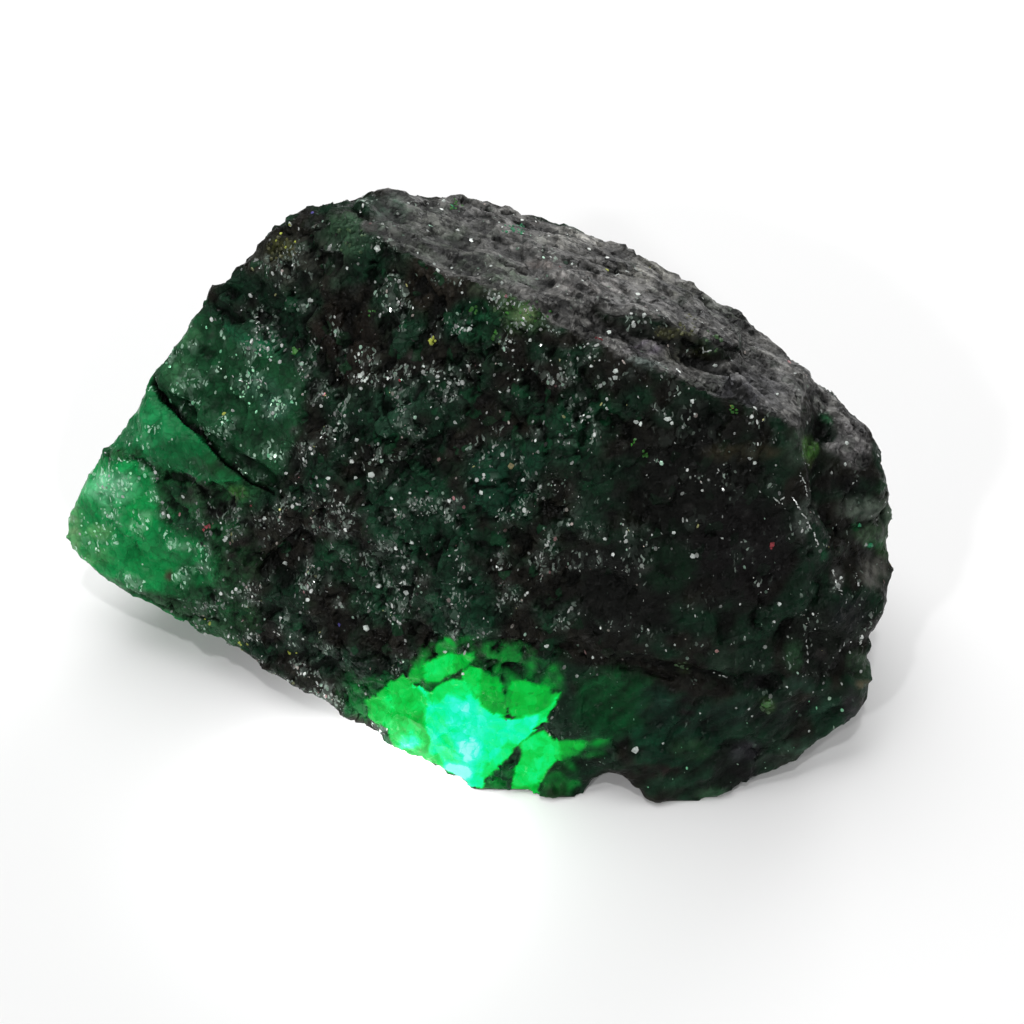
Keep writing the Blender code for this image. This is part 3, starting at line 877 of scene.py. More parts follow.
def voxel_skin(bm, size):
    """One closed skin of even faces around everything in bm."""
    mesh = mesh_of(bm, "rough stone")
    rough = bpy.data.objects.new("rough stone", mesh)
    bpy.context.scene.collection.objects.link(rough)
    remesh = rough.modifiers.new("Even skin", "REMESH")
    remesh.mode = "VOXEL"
    remesh.voxel_size = size
    bpy.context.view_layer.update()
    graph = bpy.context.evaluated_depsgraph_get()
    skin = bpy.data.meshes.new_from_object(rough.evaluated_get(graph))
    bpy.data.objects.remove(rough)
    bpy.data.meshes.remove(mesh)
    return skin


def edge_pairs(mesh):
    """The two points of each edge."""
    pairs = np.empty(len(mesh.edges) * 2, np.int32)
    mesh.edges.foreach_get("vertices", pairs)
    return pairs.reshape(-1, 2)


def eased(points, pairs, rounds, share=0.5):
    """Points drawn towards the mean of their neighbours, several times over."""
    one, other = pairs[:, 0], pairs[:, 1]
    count = np.bincount(one, minlength=len(points)) + np.bincount(other, minlength=len(points))
    points = points.copy()
    for _ in range(rounds):
        for axis in range(3):
            total = np.bincount(one, points[other, axis], len(points))
            total += np.bincount(other, points[one, axis], len(points))
            points[:, axis] += (total / count - points[:, axis]) * share
    return points


def mesh_points(mesh):
    points = np.empty(len(mesh.vertices) * 3, np.float32)
    mesh.vertices.foreach_get("co", points)
    return points.reshape(-1, 3).astype(float)


def set_points(mesh, points):
    mesh.vertices.foreach_set("co", points.astype(np.float32).ravel())
    mesh.update()


def vertex_normals(mesh, points=None):
    """Normals of the mesh as it is, or with its points somewhere else."""
    bm = bmesh.new()
    bm.from_mesh(mesh)
    if points is not None:
        for v, p in zip(bm.verts, points):
            v.co = p
    bm.normal_update()
    normals = np.array([v.normal for v in bm.verts])
    bm.free()
    return normals


def split_finer(mesh):
    """Quarters the faces around the painted glow and the crack, where small things need showing."""
    points = mesh_points(mesh)
    across, down = front_marks(points)
    window = (across > PAINTED_GLOW_LEFT) & (across < PAINTED_GLOW_RIGHT) & (down > PAINTED_GLOW_TOP)
    crack = np.zeros(len(points), bool)
    for _, _, (wide, _), line in SEAMS:
        for start, end in zip(line, line[1:]):
            crack |= line_distance(across, down, start, end)[0] < 3 + 1.7 * wide
    fine = (window | crack) & (front_facing(points, vertex_normals(mesh)) > 0)
    bm = bmesh.new()
    bm.from_mesh(mesh)
    edges = [e for e, in_one, in_other in zip(bm.edges, *fine[edge_pairs(mesh)].T) if in_one and in_other]
    bmesh.ops.subdivide_edges(bm, edges=edges, cuts=1, use_grid_fill=True)
    bm.to_mesh(mesh)
    bm.free()


def layered(points):
    """The same places along the schist's streaks, across them and through its layers."""
    return points @ np.array((STREAK, ACROSS, POLE)).T


def fine_relief(points, zones, settings):
    """How far the skin stands out at each point, in millimetres."""
    drift = np.stack([noise_at(points, 1.9, shift) for shift in (9.0, 18.0, 27.0)], 1) * 0.5
    ragged = points + drift
    # broken schist: lumps, chips and grit, and a calmer face without them
    rock = fractured(ragged, 6.0, 0.20) + fractured(ragged, 2.8, 0.30) + noise_at(points, 3.5, 6.0) * 0.45
    rough = fractured(ragged, 1.15, settings.chip_tilt) + noise_at(points, 0.7, 5.0) * settings.grit
    calm = noise_at(points, 3.5, 4.0) * 0.40 + fractured(ragged, 3.4, 0.20) + rough * 0.38
    grain = noise_at(points @ FOOT_GRAIN, FOOT_STREAK, 2.0) * 0.28
    grain += noise_at(points @ FOOT_GRAIN, np.array((2.0, 0.7, 0.5)), 4.0) * 0.12
    calm += grain * zones.foot
    # bedding faces: flutes along the streaks, sheets that end in steps, and pits
    q = layered(points)
    flutes = noise_at(q, np.array((4.5, 1.1, 1.2))) + 0.5 * noise_at(q, np.array((2.2, 0.5, 0.6)), 3.0)
    sheets = noise_at(q, np.array((6.0, 2.4, 2.0)), 6.0) * 3.4
    sheet_step = np.floor(sheets) + smooth(0.35, 0.6, sheets - np.floor(sheets))
    pits = -smooth(0.35, 0.6, noise_at(points, 1.1, 12.0)) * 0.16
    foliated = flutes * 0.24 + sheet_step * 0.24 + noise_at(points, 3.2, 2.0) * 0.42 + pits + rough * 0.4
    # emerald: broad waxy chips
    wax = fractured(ragged, 3.6, 0.12) + noise_at(points, 1.6, 11.0) * 0.10 + fractured(ragged, 1.4, 0.16)
    stony = (rock + rough) * zones.mica + calm * (1 - zones.mica)
    return (stony * (1 - zones.bedding) + foliated * zones.bedding) * (1 - zones.waxy) + wax * zones.waxy


def fill_notches(bm):
    """Rounded lumps of schist that fill the deepest notches of the right end."""
    for _, centre, halves in FILLINGS:
        made = bmesh.ops.create_icosphere(bm, subdivisions=2, radius=1.0)["verts"]
        bmesh.ops.scale(bm, vec=halves, verts=made)
        bmesh.ops.translate(bm, vec=centre, verts=made)


def build_stone(settings):
    """The solid, grown over with lumps, given one even skin and worked finely.

    The mesh keeps what each of its points is made of.
    """
    rng = random.Random(settings.seed)
    bm = copied_solid()
    shapes = grain_shapes(rng, 8)
    faces = list(bm.faces)
    middles = np.array([f.calc_center_median() for f in faces])
    zones = Zones(middles, np.array([f.normal for f in faces]))
    bare = (zones.bedding > 0.3) | (zones.waxy > 0.3) | (middles[:, 2] < 1)
    weights = np.where(bare, 0.0, zones.mica**2)
    for point, face in list(scattered(faces, weights, settings.lump_count, rng)):
        size = rng.uniform(1.0, 2.2)
        sizes = (size, size * rng.uniform(0.6, 0.95), size * rng.uniform(0.6, 0.9))
        sunk = point - face.normal * size * rng.uniform(0.26, 0.38)
        add_shape(bm, rng.choice(shapes), seated(sunk, face.normal, UP, sizes, rng, 0.4, ANY_TURN))
    for shape in shapes:
        bpy.data.meshes.remove(shape)
    fill_notches(bm)
    skin = voxel_skin(bm, settings.voxel)
    split_finer(skin)
    pairs = edge_pairs(skin)
    points = eased(mesh_points(skin), pairs, 1)

    # the right end and the step on top are worn calmer than the rest
    x, y, z = points.T
    calm_share = 0.95 * smooth(20, 28, x) * smooth(1.0, 3.0, z)
    step = smooth(2, 8, x) * smooth(-3, -1, y) * smooth(4, 2, y) * smooth(28, 30, z)
    calm_share = np.maximum(calm_share, 0.9 * step)
    points += (eased(points, pairs, 18) - points) * calm_share[:, None]
    set_points(skin, points)
    normals = vertex_normals(skin)
    zones = Zones(points, vertex_normals(skin, eased(points, pairs, 24)))

    # the relief fades out where the stone rests on the floor
    resting = np.where(normals[:, 2] < 0, 1 - smooth(0.15, 0.8, points[:, 2]), 0.0)
    height = fine_relief(points, zones, settings) * (1 - resting) - zones.crack * 0.6
    moved = points + normals * height[:, None]
    moved[:, 2] = np.maximum(moved[:, 2], 0.0)
    # how deep each point lies against its surroundings, near and far
    near, far, farthest = (eased(moved, pairs, rounds) for rounds in (4, 20, 60))
    hollow = (((near - moved) + 0.4 * (far - moved) + 0.3 * (farthest - moved)) * normals).sum(1)

    set_points(skin, moved * MM)
    for name in ("bedding", "waxy", "mica", "window", "crack", "glitter"):
        store(skin, name, "FLOAT", "value", getattr(zones, name))
    store(skin, "hollow", "FLOAT", "value", hollow)
    tint = np.column_stack((zones.colours, np.ones(len(points))))
    store(skin, "tint", "FLOAT_COLOR", "color", tint)
    return skin


def store(mesh, name, kind, field, values):
    """Keeps a value for every point of a mesh under a name."""
    mesh.attributes.new(name, kind, "POINT").data.foreach_set(field, values.astype(np.float32).ravel())


# ---------------------------------------------------------------- finishes


def node(tree, kind, **settings):
    """A new shader node with some of its settings."""
    made = tree.nodes.new(kind)
    for key, value in settings.items():
        setattr(made, key, value)
    return made


def wire(tree, value, socket):
    """Links an output, or sets a plain value."""
    if isinstance(value, bpy.types.NodeSocket):
        tree.links.new(value, socket)
    else:
        socket.default_value = value


def calc(tree, operation, *values):
    """What a Math node makes of outputs and plain values."""
    made = node(tree, "ShaderNodeMath", operation=operation)
    for value, socket in zip(values, made.inputs):
        wire(tree, value, socket)
    return made.outputs[0]


def vector_calc(tree, operation, *values):
    made = node(tree, "ShaderNodeVectorMath", operation=operation)
    for value, socket in zip(values, made.inputs):
        wire(tree, value, socket)
    return made.outputs["Value" if operation == "DOT_PRODUCT" else "Vector"]


def scaled(tree, vector, factor):
    made = node(tree, "ShaderNodeVectorMath", operation="SCALE")
    wire(tree, vector, made.inputs[0])
    wire(tree, factor, made.inputs["Scale"])
    return made.outputs[0]


def swing(tree, value, amount):
    """A 0 to 1 value as a swing about zero."""
    return calc(tree, "MULTIPLY", calc(tree, "SUBTRACT", value, 0.5), amount)


def remap(tree, value, low, high, out_low=0.0, out_high=1.0, ease="SMOOTHSTEP"):
    """A value's range laid over another range, softly at its ends or in a straight line."""
    made = node(tree, "ShaderNodeMapRange", interpolation_type=ease)
    names = ("Value", "From Min", "From Max", "To Min", "To Max")
    for name, item in zip(names, (value, low, high, out_low, out_high)):
        wire(tree, item, made.inputs[name])
    return made.outputs["Result"]


def blend_colour(tree, share, under, over):
    """One colour laid over another, as thickly as the share says."""
    made = node(tree, "ShaderNodeMix", data_type="RGBA")
    colours = [s for s in made.inputs if s.type == "RGBA"]
    wire(tree, share, made.inputs["Factor"])
    wire(tree, under, colours[0])
    wire(tree, over, colours[1])
    return [s for s in made.outputs if s.type == "RGBA"][0]


def ramp(tree, value, stops):
    """A colour for each level, blended between the stops."""
    made = node(tree, "ShaderNodeValToRGB")
    marks = made.color_ramp.elements
    while len(marks) < len(stops):
        marks.new(0.5)
    for mark, (position, colour) in zip(marks, stops):
        mark.position = position
        mark.color = (*colour, 1)
    wire(tree, value, made.inputs["Fac"])
    return made.outputs["Color"]


def mask(tree, name):
    """One of the values that the mesh keeps for its points."""
    return node(tree, "ShaderNodeAttribute", attribute_name=name).outputs["Fac"]


def noise_texture(tree, place, scale, detail=2.0, rough=0.5):
    made = node(tree, "ShaderNodeTexNoise")
    wire(tree, place, made.inputs["Vector"])
    made.inputs["Scale"].default_value = scale
    made.inputs["Detail"].default_value = detail
    made.inputs["Roughness"].default_value = rough
    return made.outputs


def stretched(tree, place, scale, turn=(0, 0, 0)):
    made = node(tree, "ShaderNodeMapping")
    wire(tree, place, made.inputs["Vector"])
    made.inputs["Scale"].default_value = scale
    made.inputs["Rotation"].default_value = turn
    return made.outputs[0]


def millimetres(tree):
    """Places on the piece, in millimetres."""
    return stretched(tree, node(tree, "ShaderNodeTexCoord").outputs["Object"], (1 / MM, 1 / MM, 1 / MM))


def chipped_grain_group():
    """Cells like broken grains, each with a tilted flat face, two random values and a joint round it."""
    tree = bpy.data.node_groups.get("Chipped grain")
    if tree:
        return tree
    tree = bpy.data.node_groups.new("Chipped grain", "ShaderNodeTree")
    tree.interface.new_socket("Place", in_out="INPUT", socket_type="NodeSocketVector")
    tree.interface.new_socket("Size", in_out="INPUT", socket_type="NodeSocketFloat").default_value = 1.0
    tree.interface.new_socket("Tilt", in_out="INPUT", socket_type="NodeSocketFloat").default_value = 0.5
    for name in ("Height", "Shade", "Chance", "Joint"):
        tree.interface.new_socket(name, in_out="OUTPUT", socket_type="NodeSocketFloat")
    given = node(tree, "NodeGroupInput").outputs
    place = scaled(tree, given["Place"], calc(tree, "DIVIDE", 1.0, given["Size"]))
    cells = node(tree, "ShaderNodeTexVoronoi", feature="F1")
    wire(tree, place, cells.inputs["Vector"])
    cells.inputs["Scale"].default_value = 1
    lean = vector_calc(tree, "SUBTRACT", cells.outputs["Color"], (0.5, 0.5, 0.5))
    from_middle = vector_calc(tree, "SUBTRACT", place, cells.outputs["Position"])
    height = calc(tree, "MULTIPLY", vector_calc(tree, "DOT_PRODUCT", from_middle, lean), given["Size"])
    height = calc(tree, "MULTIPLY", height, given["Tilt"])
    edges = node(tree, "ShaderNodeTexVoronoi", feature="DISTANCE_TO_EDGE")
    wire(tree, place, edges.inputs["Vector"])
    edges.inputs["Scale"].default_value = 1
    split = node(tree, "ShaderNodeSeparateColor")
    wire(tree, cells.outputs["Color"], split.inputs[0])
    out = node(tree, "NodeGroupOutput")
    wire(tree, height, out.inputs["Height"])
    wire(tree, split.outputs[0], out.inputs["Shade"])
    wire(tree, split.outputs[1], out.inputs["Chance"])
    wire(tree, remap(tree, edges.outputs["Distance"], 0.0, 0.12, 1.0, 0.0), out.inputs["Joint"])
    return tree


def chipped_grain(tree, place, size, tilt):
    made = node(tree, "ShaderNodeGroup", node_tree=chipped_grain_group())
    wire(tree, place, made.inputs["Place"])
    made.inputs["Size"].default_value = size
    made.inputs["Tilt"].default_value = tilt
    return made.outputs


def new_material(name):
    material = bpy.data.materials.new(name)
    material.use_nodes = True
    tree = material.node_tree
    shader = next(n for n in tree.nodes if n.type == "BSDF_PRINCIPLED")
    return material, tree, shader


def stone_material():
    material, tree, shader = new_material("emerald schist")
    place = millimetres(tree)
    drift = vector_calc(tree, "SUBTRACT", noise_texture(tree, place, 1.1)["Color"], (0.5, 0.5, 0.5))
    ragged = vector_calc(tree, "ADD", place, scaled(tree, drift, 0.9))
    upright = stretched(tree, ragged, (1, 0.7, 0.42))
    lumps = chipped_grain(tree, ragged, 2.4, 0.25)
    grains = chipped_grain(tree, ragged, 0.95, 0.5)
    bits = chipped_grain(tree, upright, 0.40, 0.6)
    flecks = chipped_grain(tree, upright, 0.17, 0.8)
    bedding, waxy, mica, window, crack, glitter, hollow = (
        mask(tree, name) for name in ("bedding", "waxy", "mica", "window", "crack", "glitter", "hollow")
    )
    medium = noise_texture(tree, place, 0.55, 3, 0.55)["Fac"]
    fine = noise_texture(tree, place, 2.2, 3, 0.6)["Fac"]

    # the broad colour, varied patch by patch and, where there is mica, grain by grain, and lighter on the
    # ridges
    tint = node(tree, "ShaderNodeAttribute", attribute_name="tint").outputs["Color"]
    grainy = remap(tree, mica, 0.0, 1.0, 0.5, 1.0)
    grainy = calc(tree, "MAXIMUM", grainy, calc(tree, "MULTIPLY", bedding, 1.15))
    ridge = remap(tree, calc(tree, "MULTIPLY", hollow, -1.0), 0.0, 0.45, 0.0, 0.5)
    shade = calc(tree, "ADD", swing(tree, grains["Shade"], 0.8), swing(tree, bits["Shade"], 0.5))
    shade = calc(tree, "MULTIPLY", shade, grainy)
    shade = calc(tree, "ADD", shade, calc(tree, "ADD", swing(tree, medium, 1.8), swing(tree, fine, 0.8)))
    shade = calc(tree, "MULTIPLY", shade, remap(tree, waxy, 0.0, 1.0, 1.0, 0.5))
    shade = calc(tree, "ADD", shade, ridge)
    body = scaled(tree, tint, remap(tree, shade, -0.7, 0.7, 0.35, 1.8, ease="LINEAR"))
    emerald = remap(tree, grains["Chance"], 0.90, 0.94)
    emerald = calc(tree, "MULTIPLY", emerald, remap(tree, mica, 0.1, 1.0, 0.06, 0.5))
    emerald = calc(tree, "MULTIPLY", emerald, remap(tree, waxy, 0.0, 0.5, 1.0, 0.0))
    body = blend_colour(tree, emerald, body, EMERALD_CHIP)

    # bedding faces: streaks of mica
    along = stretched(tree, place, (1, 1, 1), Matrix((STREAK, ACROSS, POLE)).to_euler())
    streaks = noise_texture(tree, stretched(tree, along, (0.35, 1.0, 1.0)), 1.0, 4, 0.6)["Fac"]
    blots = noise_texture(tree, stretched(tree, along, (0.5, 1.0, 1.0)), 0.55, 3, 0.6)["Fac"]
    bed_share = remap(tree, calc(tree, "ADD", bedding, swing(tree, medium, 0.9)), 0.35, 0.65)
    streaked = calc(tree, "ADD", remap(tree, streaks, 0.35, 0.7, 0.35, 2.2), swing(tree, blots, 4.2))
    streaked = calc(tree, "ADD", streaked, remap(tree, flecks["Chance"], 0.80, 1.0, 0.0, 1.2))
    streaked = calc(tree, "SUBTRACT", streaked, remap(tree, bits["Chance"], 0.75, 0.95, 0.0, 0.9))
    streaked = calc(tree, "MAXIMUM", streaked, 0.08)
    body = scaled(tree, body, remap(tree, bed_share, 0.0, 1.0, 1.0, streaked, ease="LINEAR"))

    # painted glints: pale flecks and a haze where the mica glitters; then dark joints and hollows
    chance = calc(tree, "MULTIPLY_ADD", glitter, 0.30, flecks["Chance"])
    fleck = remap(tree, flecks["Shade"], 0.0, 1.0, 0.10, 0.85)
    fleck = calc(tree, "MULTIPLY", remap(tree, chance, 0.985, 1.06), fleck)
    glint_haze = calc(tree, "MULTIPLY", glitter, remap(tree, bits["Chance"], 0.40, 0.95, 0.0, 0.19))
    pale = calc(tree, "MAXIMUM", fleck, glint_haze)
    body = blend_colour(tree, pale, body, blend_colour(tree, waxy, PAINTED_MICA_GLINT, PAINTED_MICA_GLINT_ON_GREEN))
    joints = remap(tree, mica, 0.0, 1.0, 0.0, 0.45)
    joints = calc(tree, "MAXIMUM", joints, calc(tree, "MULTIPLY", bed_share, 0.4))
    joints = calc(tree, "MULTIPLY", joints, grains["Joint"])
    # painted shade: black laid into the hollows and the cracks, along with the dark joints
    dark = calc(tree, "MAXIMUM", remap(tree, hollow, 0.0, 0.30), joints)
    dark = calc(tree, "MULTIPLY", dark, remap(tree, waxy, 0.0, 1.0, 0.85, 0.35))
    dark = calc(tree, "MAXIMUM", dark, crack)
    body = blend_colour(tree, dark, body, PAINTED_SHADE_BLACK)
    wire(tree, body, shader.inputs["Base Color"])

    # painted glow: emission for the torch light shining through the window, with a slightly different level
    # in every grain
    swell = remap(tree, window, 0.08, 0.5, 0.25, 1.0)
    level = window
    shades = ((lumps["Shade"], 0.08), (grains["Shade"], 0.09), (bits["Shade"], 0.05), (medium, 0.25))
    for shade, amount in shades:
        level = calc(tree, "MULTIPLY_ADD", swing(tree, shade, amount), swell, level)
    level = calc(tree, "MULTIPLY_ADD", dark, -0.15, level)
    wire(tree, ramp(tree, level, GLOW), shader.inputs["Emission Color"])
    shader.inputs["Emission Strength"].default_value = GLOW_STRENGTH

    # dull stone, a little smoother on the emerald, with a soft sheen on the bedding
    rough = remap(tree, bits["Chance"], 0.0, 1.0, 0.30, 0.65, ease="LINEAR")
    wire(tree, calc(tree, "MULTIPLY_ADD", waxy, -0.08, rough), shader.inputs["Roughness"])
    shader.inputs["Specular IOR Level"].default_value = 0.08
    wire(tree, calc(tree, "MULTIPLY", bed_share, 0.3), shader.inputs["Coat Weight"])
    shader.inputs["Coat Roughness"].default_value = 0.45

    # the finest chips and flutes
    rock = calc(tree, "ADD", calc(tree, "ADD", grains["Height"], bits["Height"]), flecks["Height"])
    depth = calc(tree, "MULTIPLY", grainy, remap(tree, waxy, 0.0, 1.0, 0.8, 0.25))
    rock = calc(tree, "MULTIPLY", rock, depth)
    flutes = calc(tree, "MULTIPLY", calc(tree, "MULTIPLY", streaks, bed_share), 0.35)
    bump = node(tree, "ShaderNodeBump")
    bump.inputs["Distance"].default_value = MM
    wire(tree, calc(tree, "ADD", rock, flutes), bump.inputs["Height"])
    wire(tree, bump.outputs["Normal"], shader.inputs["Normal"])
    return material


def loose_material(name, mottle_colour, rough_low, rough_high, metallic):
    """For grains and flakes, which carry their own tint, with darker mottles on it."""
    material, tree, shader = new_material(name)
    tint = node(tree, "ShaderNodeAttribute", attribute_name="tint").outputs["Color"]
    mottle = noise_texture(tree, millimetres(tree), 1.8, 2)["Fac"]
    share = remap(tree, mottle, 0.35, 0.7, 0.0, 0.55)
    wire(tree, blend_colour(tree, share, tint, mottle_colour), shader.inputs["Base Color"])
    wire(tree, remap(tree, mottle, 0.3, 0.7, rough_low, rough_high), shader.inputs["Roughness"])
    shader.inputs["Metallic"].default_value = metallic
    shader.inputs["Specular IOR Level"].default_value = 0.3
    return material


# ---------------------------------------------------------------- settings


class StoneSettings(bpy.types.PropertyGroup):
    seed: IntProperty(
        name="Seed", description="Which chance arrangement of lumps the stone gets", default=11
    )
    lump_count: IntProperty(
        name="Lumps", description="Angular lumps grown into the broken face", default=800
    )
    voxel: FloatProperty(
        name="Skin size", description="Size of the faces of the skin, in millimetres", default=0.38
    )
    chip_tilt: FloatProperty(
        name="Chip tilt", description="How steeply the small chips lean", default=0.42
    )
    grit: FloatProperty(
        name="Grit", description="Height of the gritty grain, in millimetres", default=0.07
    )


class GrainSettings(bpy.types.PropertyGroup):
    seed: IntProperty(
        name="Seed", description="Which chance arrangement of grains the stone gets", default=5
    )
    count: IntProperty(
        name="Grains", description="Small crystals set in the broken face", default=1200
    )
    smallest: FloatProperty(
        name="Smallest grain", description="Width of the smallest grain", default=0.0003, unit="LENGTH"
    )
    largest: FloatProperty(
        name="Largest grain", description="Width of the largest grain", default=0.0008, unit="LENGTH"
    )


class FlakeSettings(bpy.types.PropertyGroup):
    seed: IntProperty(
        name="Seed", description="Which chance arrangement of flakes the stone gets", default=6
    )
    count: IntProperty(
        name="Flakes", description="Mica flakes over the whole stone", default=7500
    )
    shortest: FloatProperty(
        name="Shortest flake", description="Length of the shortest flake", default=0.00010, unit="LENGTH"
    )
    longest: FloatProperty(
        name="Longest flake", description="Length of the longest flake", default=0.00050, unit="LENGTH"
    )


class StudioSettings(bpy.types.PropertyGroup):
    floor: FloatVectorProperty(
        name="Floor colour", description="Colour of the plain floor",
        subtype="COLOR", default=(0.86, 0.86, 0.86), min=0, max=1,
    )
    air: FloatProperty(
        name="Surrounding light", description="Strength of the even light from all round", default=0.10
    )
    key: FloatProperty(
        name="Softbox", description="Power of the softbox above, in watts", default=3.2
    )


class EmeraldSettings(bpy.types.PropertyGroup):
    stone: PointerProperty(type=StoneSettings)
    grains: PointerProperty(type=GrainSettings)
    flakes: PointerProperty(type=FlakeSettings)
    studio: PointerProperty(type=StudioSettings)


# ---------------------------------------------------------------- operators


def place_piece(name, mesh, material):
    """Makes a mesh a piece of the stone with its finish."""
    piece = bpy.data.objects.new(name, mesh)
    bpy.context.scene.collection.objects.link(piece)
    mesh.materials.clear()
    mesh.materials.append(material)
    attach(piece, BODY)
    return piece


def stone_surface():
    """The finished stone in millimetres, and for each face what its first point says of each mask."""
    mesh = bpy.data.objects["stone"].data
    bm = bmesh.new()
    bm.from_mesh(mesh)
    bmesh.ops.scale(bm, vec=(1 / MM, 1 / MM, 1 / MM), verts=bm.verts)
    bm.normal_update()
    first = [f.verts[0].index for f in bm.faces]
    masks = {}
    for name in ("bedding", "waxy", "mica", "window", "glitter", "hollow"):
        values = np.empty(len(mesh.vertices), np.float32)
        mesh.attributes[name].data.foreach_get("value", values)
        masks[name] = values[first]
    masks["height"] = np.array([f.verts[0].co.z for f in bm.faces])
    return bm, masks


def tinted_mesh(bm, name, tints, points_each):
    """A mesh of many like shapes in metres, each shape with its own tint."""
    bmesh.ops.scale(bm, vec=(MM, MM, MM), verts=bm.verts)
    mesh = mesh_of(bm, name)
    store(mesh, "tint", "FLOAT_COLOR", "color", np.repeat([(*tint, 1) for tint in tints], points_each, 0))
    return mesh


def drawn_colour(kinds, rng):
    """One of several colours, each with its share of the draw."""
    draw = rng.random()
    for share, colour in kinds:
        if draw < share:
            return colour
        draw -= share
    return kinds[-1][1]


def seen_place(tree, marks):
    """The place on the stone that the drawing of the best side shows at some marks, and its normal.

    Marks just off the outline are drawn in until they meet the stone.
    """
    marks = Vector(marks)
    for _ in range(15):
        across, up = (marks.x - FRONT_CENTRE) / FRONT_REACH, (FRONT_CENTRE - marks.y) / FRONT_REACH
        forward = up * math.cos(FRONT_TIP) + math.sin(FRONT_TIP)
        ray = Vector((across, forward, up * math.sin(FRONT_TIP) - math.cos(FRONT_TIP)))
        point, normal, _, _ = tree.ray_cast(FRONT_EYE, ray.normalized())
        if point is not None:
            return point, normal
        marks += (Vector(FRONT_MIDDLE) - marks) * 0.02
    raise ValueError(f"nothing of the stone near {marks}")


class EMERALD_OT_stone(bpy.types.Operator):
    """Gives the solid its broken skin and its finish"""

    bl_idname = "emerald.stone"
    bl_label = "Stone"

    def execute(self, context):
        skin = build_stone(context.scene.emerald.stone)
        skin.name = "stone"
        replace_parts(place_piece("stone", skin, stone_material()), NODE)
        return {"FINISHED"}


class EMERALD_OT_grains(bpy.types.Operator):
    """Sets small angular crystals into the broken faces"""

    bl_idname = "emerald.grains"
    bl_label = "Grains"

    def execute(self, context):
        settings = context.scene.emerald.grains
        rng = random.Random(settings.seed)
        surface, masks = stone_surface()
        shapes = grain_shapes(rng, 10)
        weights = np.where((masks["waxy"] > 0.4) | (masks["height"] < 0.8), 0.0, masks["mica"] ** 2)
        bm = bmesh.new()
        tints = []
        for point, face in list(scattered(list(surface.faces), weights, settings.count, rng)):
            size = rng.uniform(settings.smallest, settings.largest) / MM
            sizes = (size, size * rng.uniform(0.5, 0.95), size * rng.uniform(0.5, 0.8))
            sunk = point - face.normal * size * rng.uniform(0.24, 0.38)
            place = seated(sunk, face.normal, UP, sizes, rng, 0.5, ANY_TURN)
            add_shape(bm, rng.choice(shapes), place)
            tints.append(Vector(drawn_colour(GRAIN_MIX, rng)) * rng.uniform(0.4, 1.5))

        # the grains that stand out, one by one and in clusters
        tree = BVHTree.FromBMesh(surface)
        places = []
        for kind, centre, size in NAMED_GRAINS:
            point, normal, _, _ = tree.find_nearest(Vector(centre))
            places.append((kind, point, normal, size))
        # white grains as painted glints
        places += [("white", *seen_place(tree, marks), size) for marks, size in PAINTED_GLINT_GRAINS]
        for kind, middle, halves, how_many, size in GRAIN_CLUSTERS:
            for _ in range(how_many):
                reach, turn = math.sqrt(rng.random()), rng.uniform(0, math.tau)
                across = middle[0] + halves[0] * reach * math.cos(turn)
                down = middle[1] + halves[1] * reach * math.sin(turn)
                place = seen_place(tree, (across, down))
                places.append((kind, *place, size * rng.uniform(0.6, 1.2)))
        for kind, point, normal, size in places:
            sizes = (size, size * rng.uniform(0.7, 1.0), size * rng.uniform(0.6, 0.8))
            shape = rng.choice(shapes)
            sunk = point - normal * size * 0.12
            add_shape(bm, shape, seated(sunk, normal, UP, sizes, rng, 0.2, ANY_TURN))
            tints.append(Vector(GRAIN_COLOURS[kind]) * rng.uniform(0.6, 1.25))
        surface.free()
        mesh = tinted_mesh(bm, "grains", tints, len(shapes[0].vertices))
        for shape in shapes:
            bpy.data.meshes.remove(shape)
        material = loose_material("schist grain", GRAIN_MOTTLE, 0.25, 0.55, metallic=0.0)
        place_piece("grains", mesh, material)
        return {"FINISHED"}


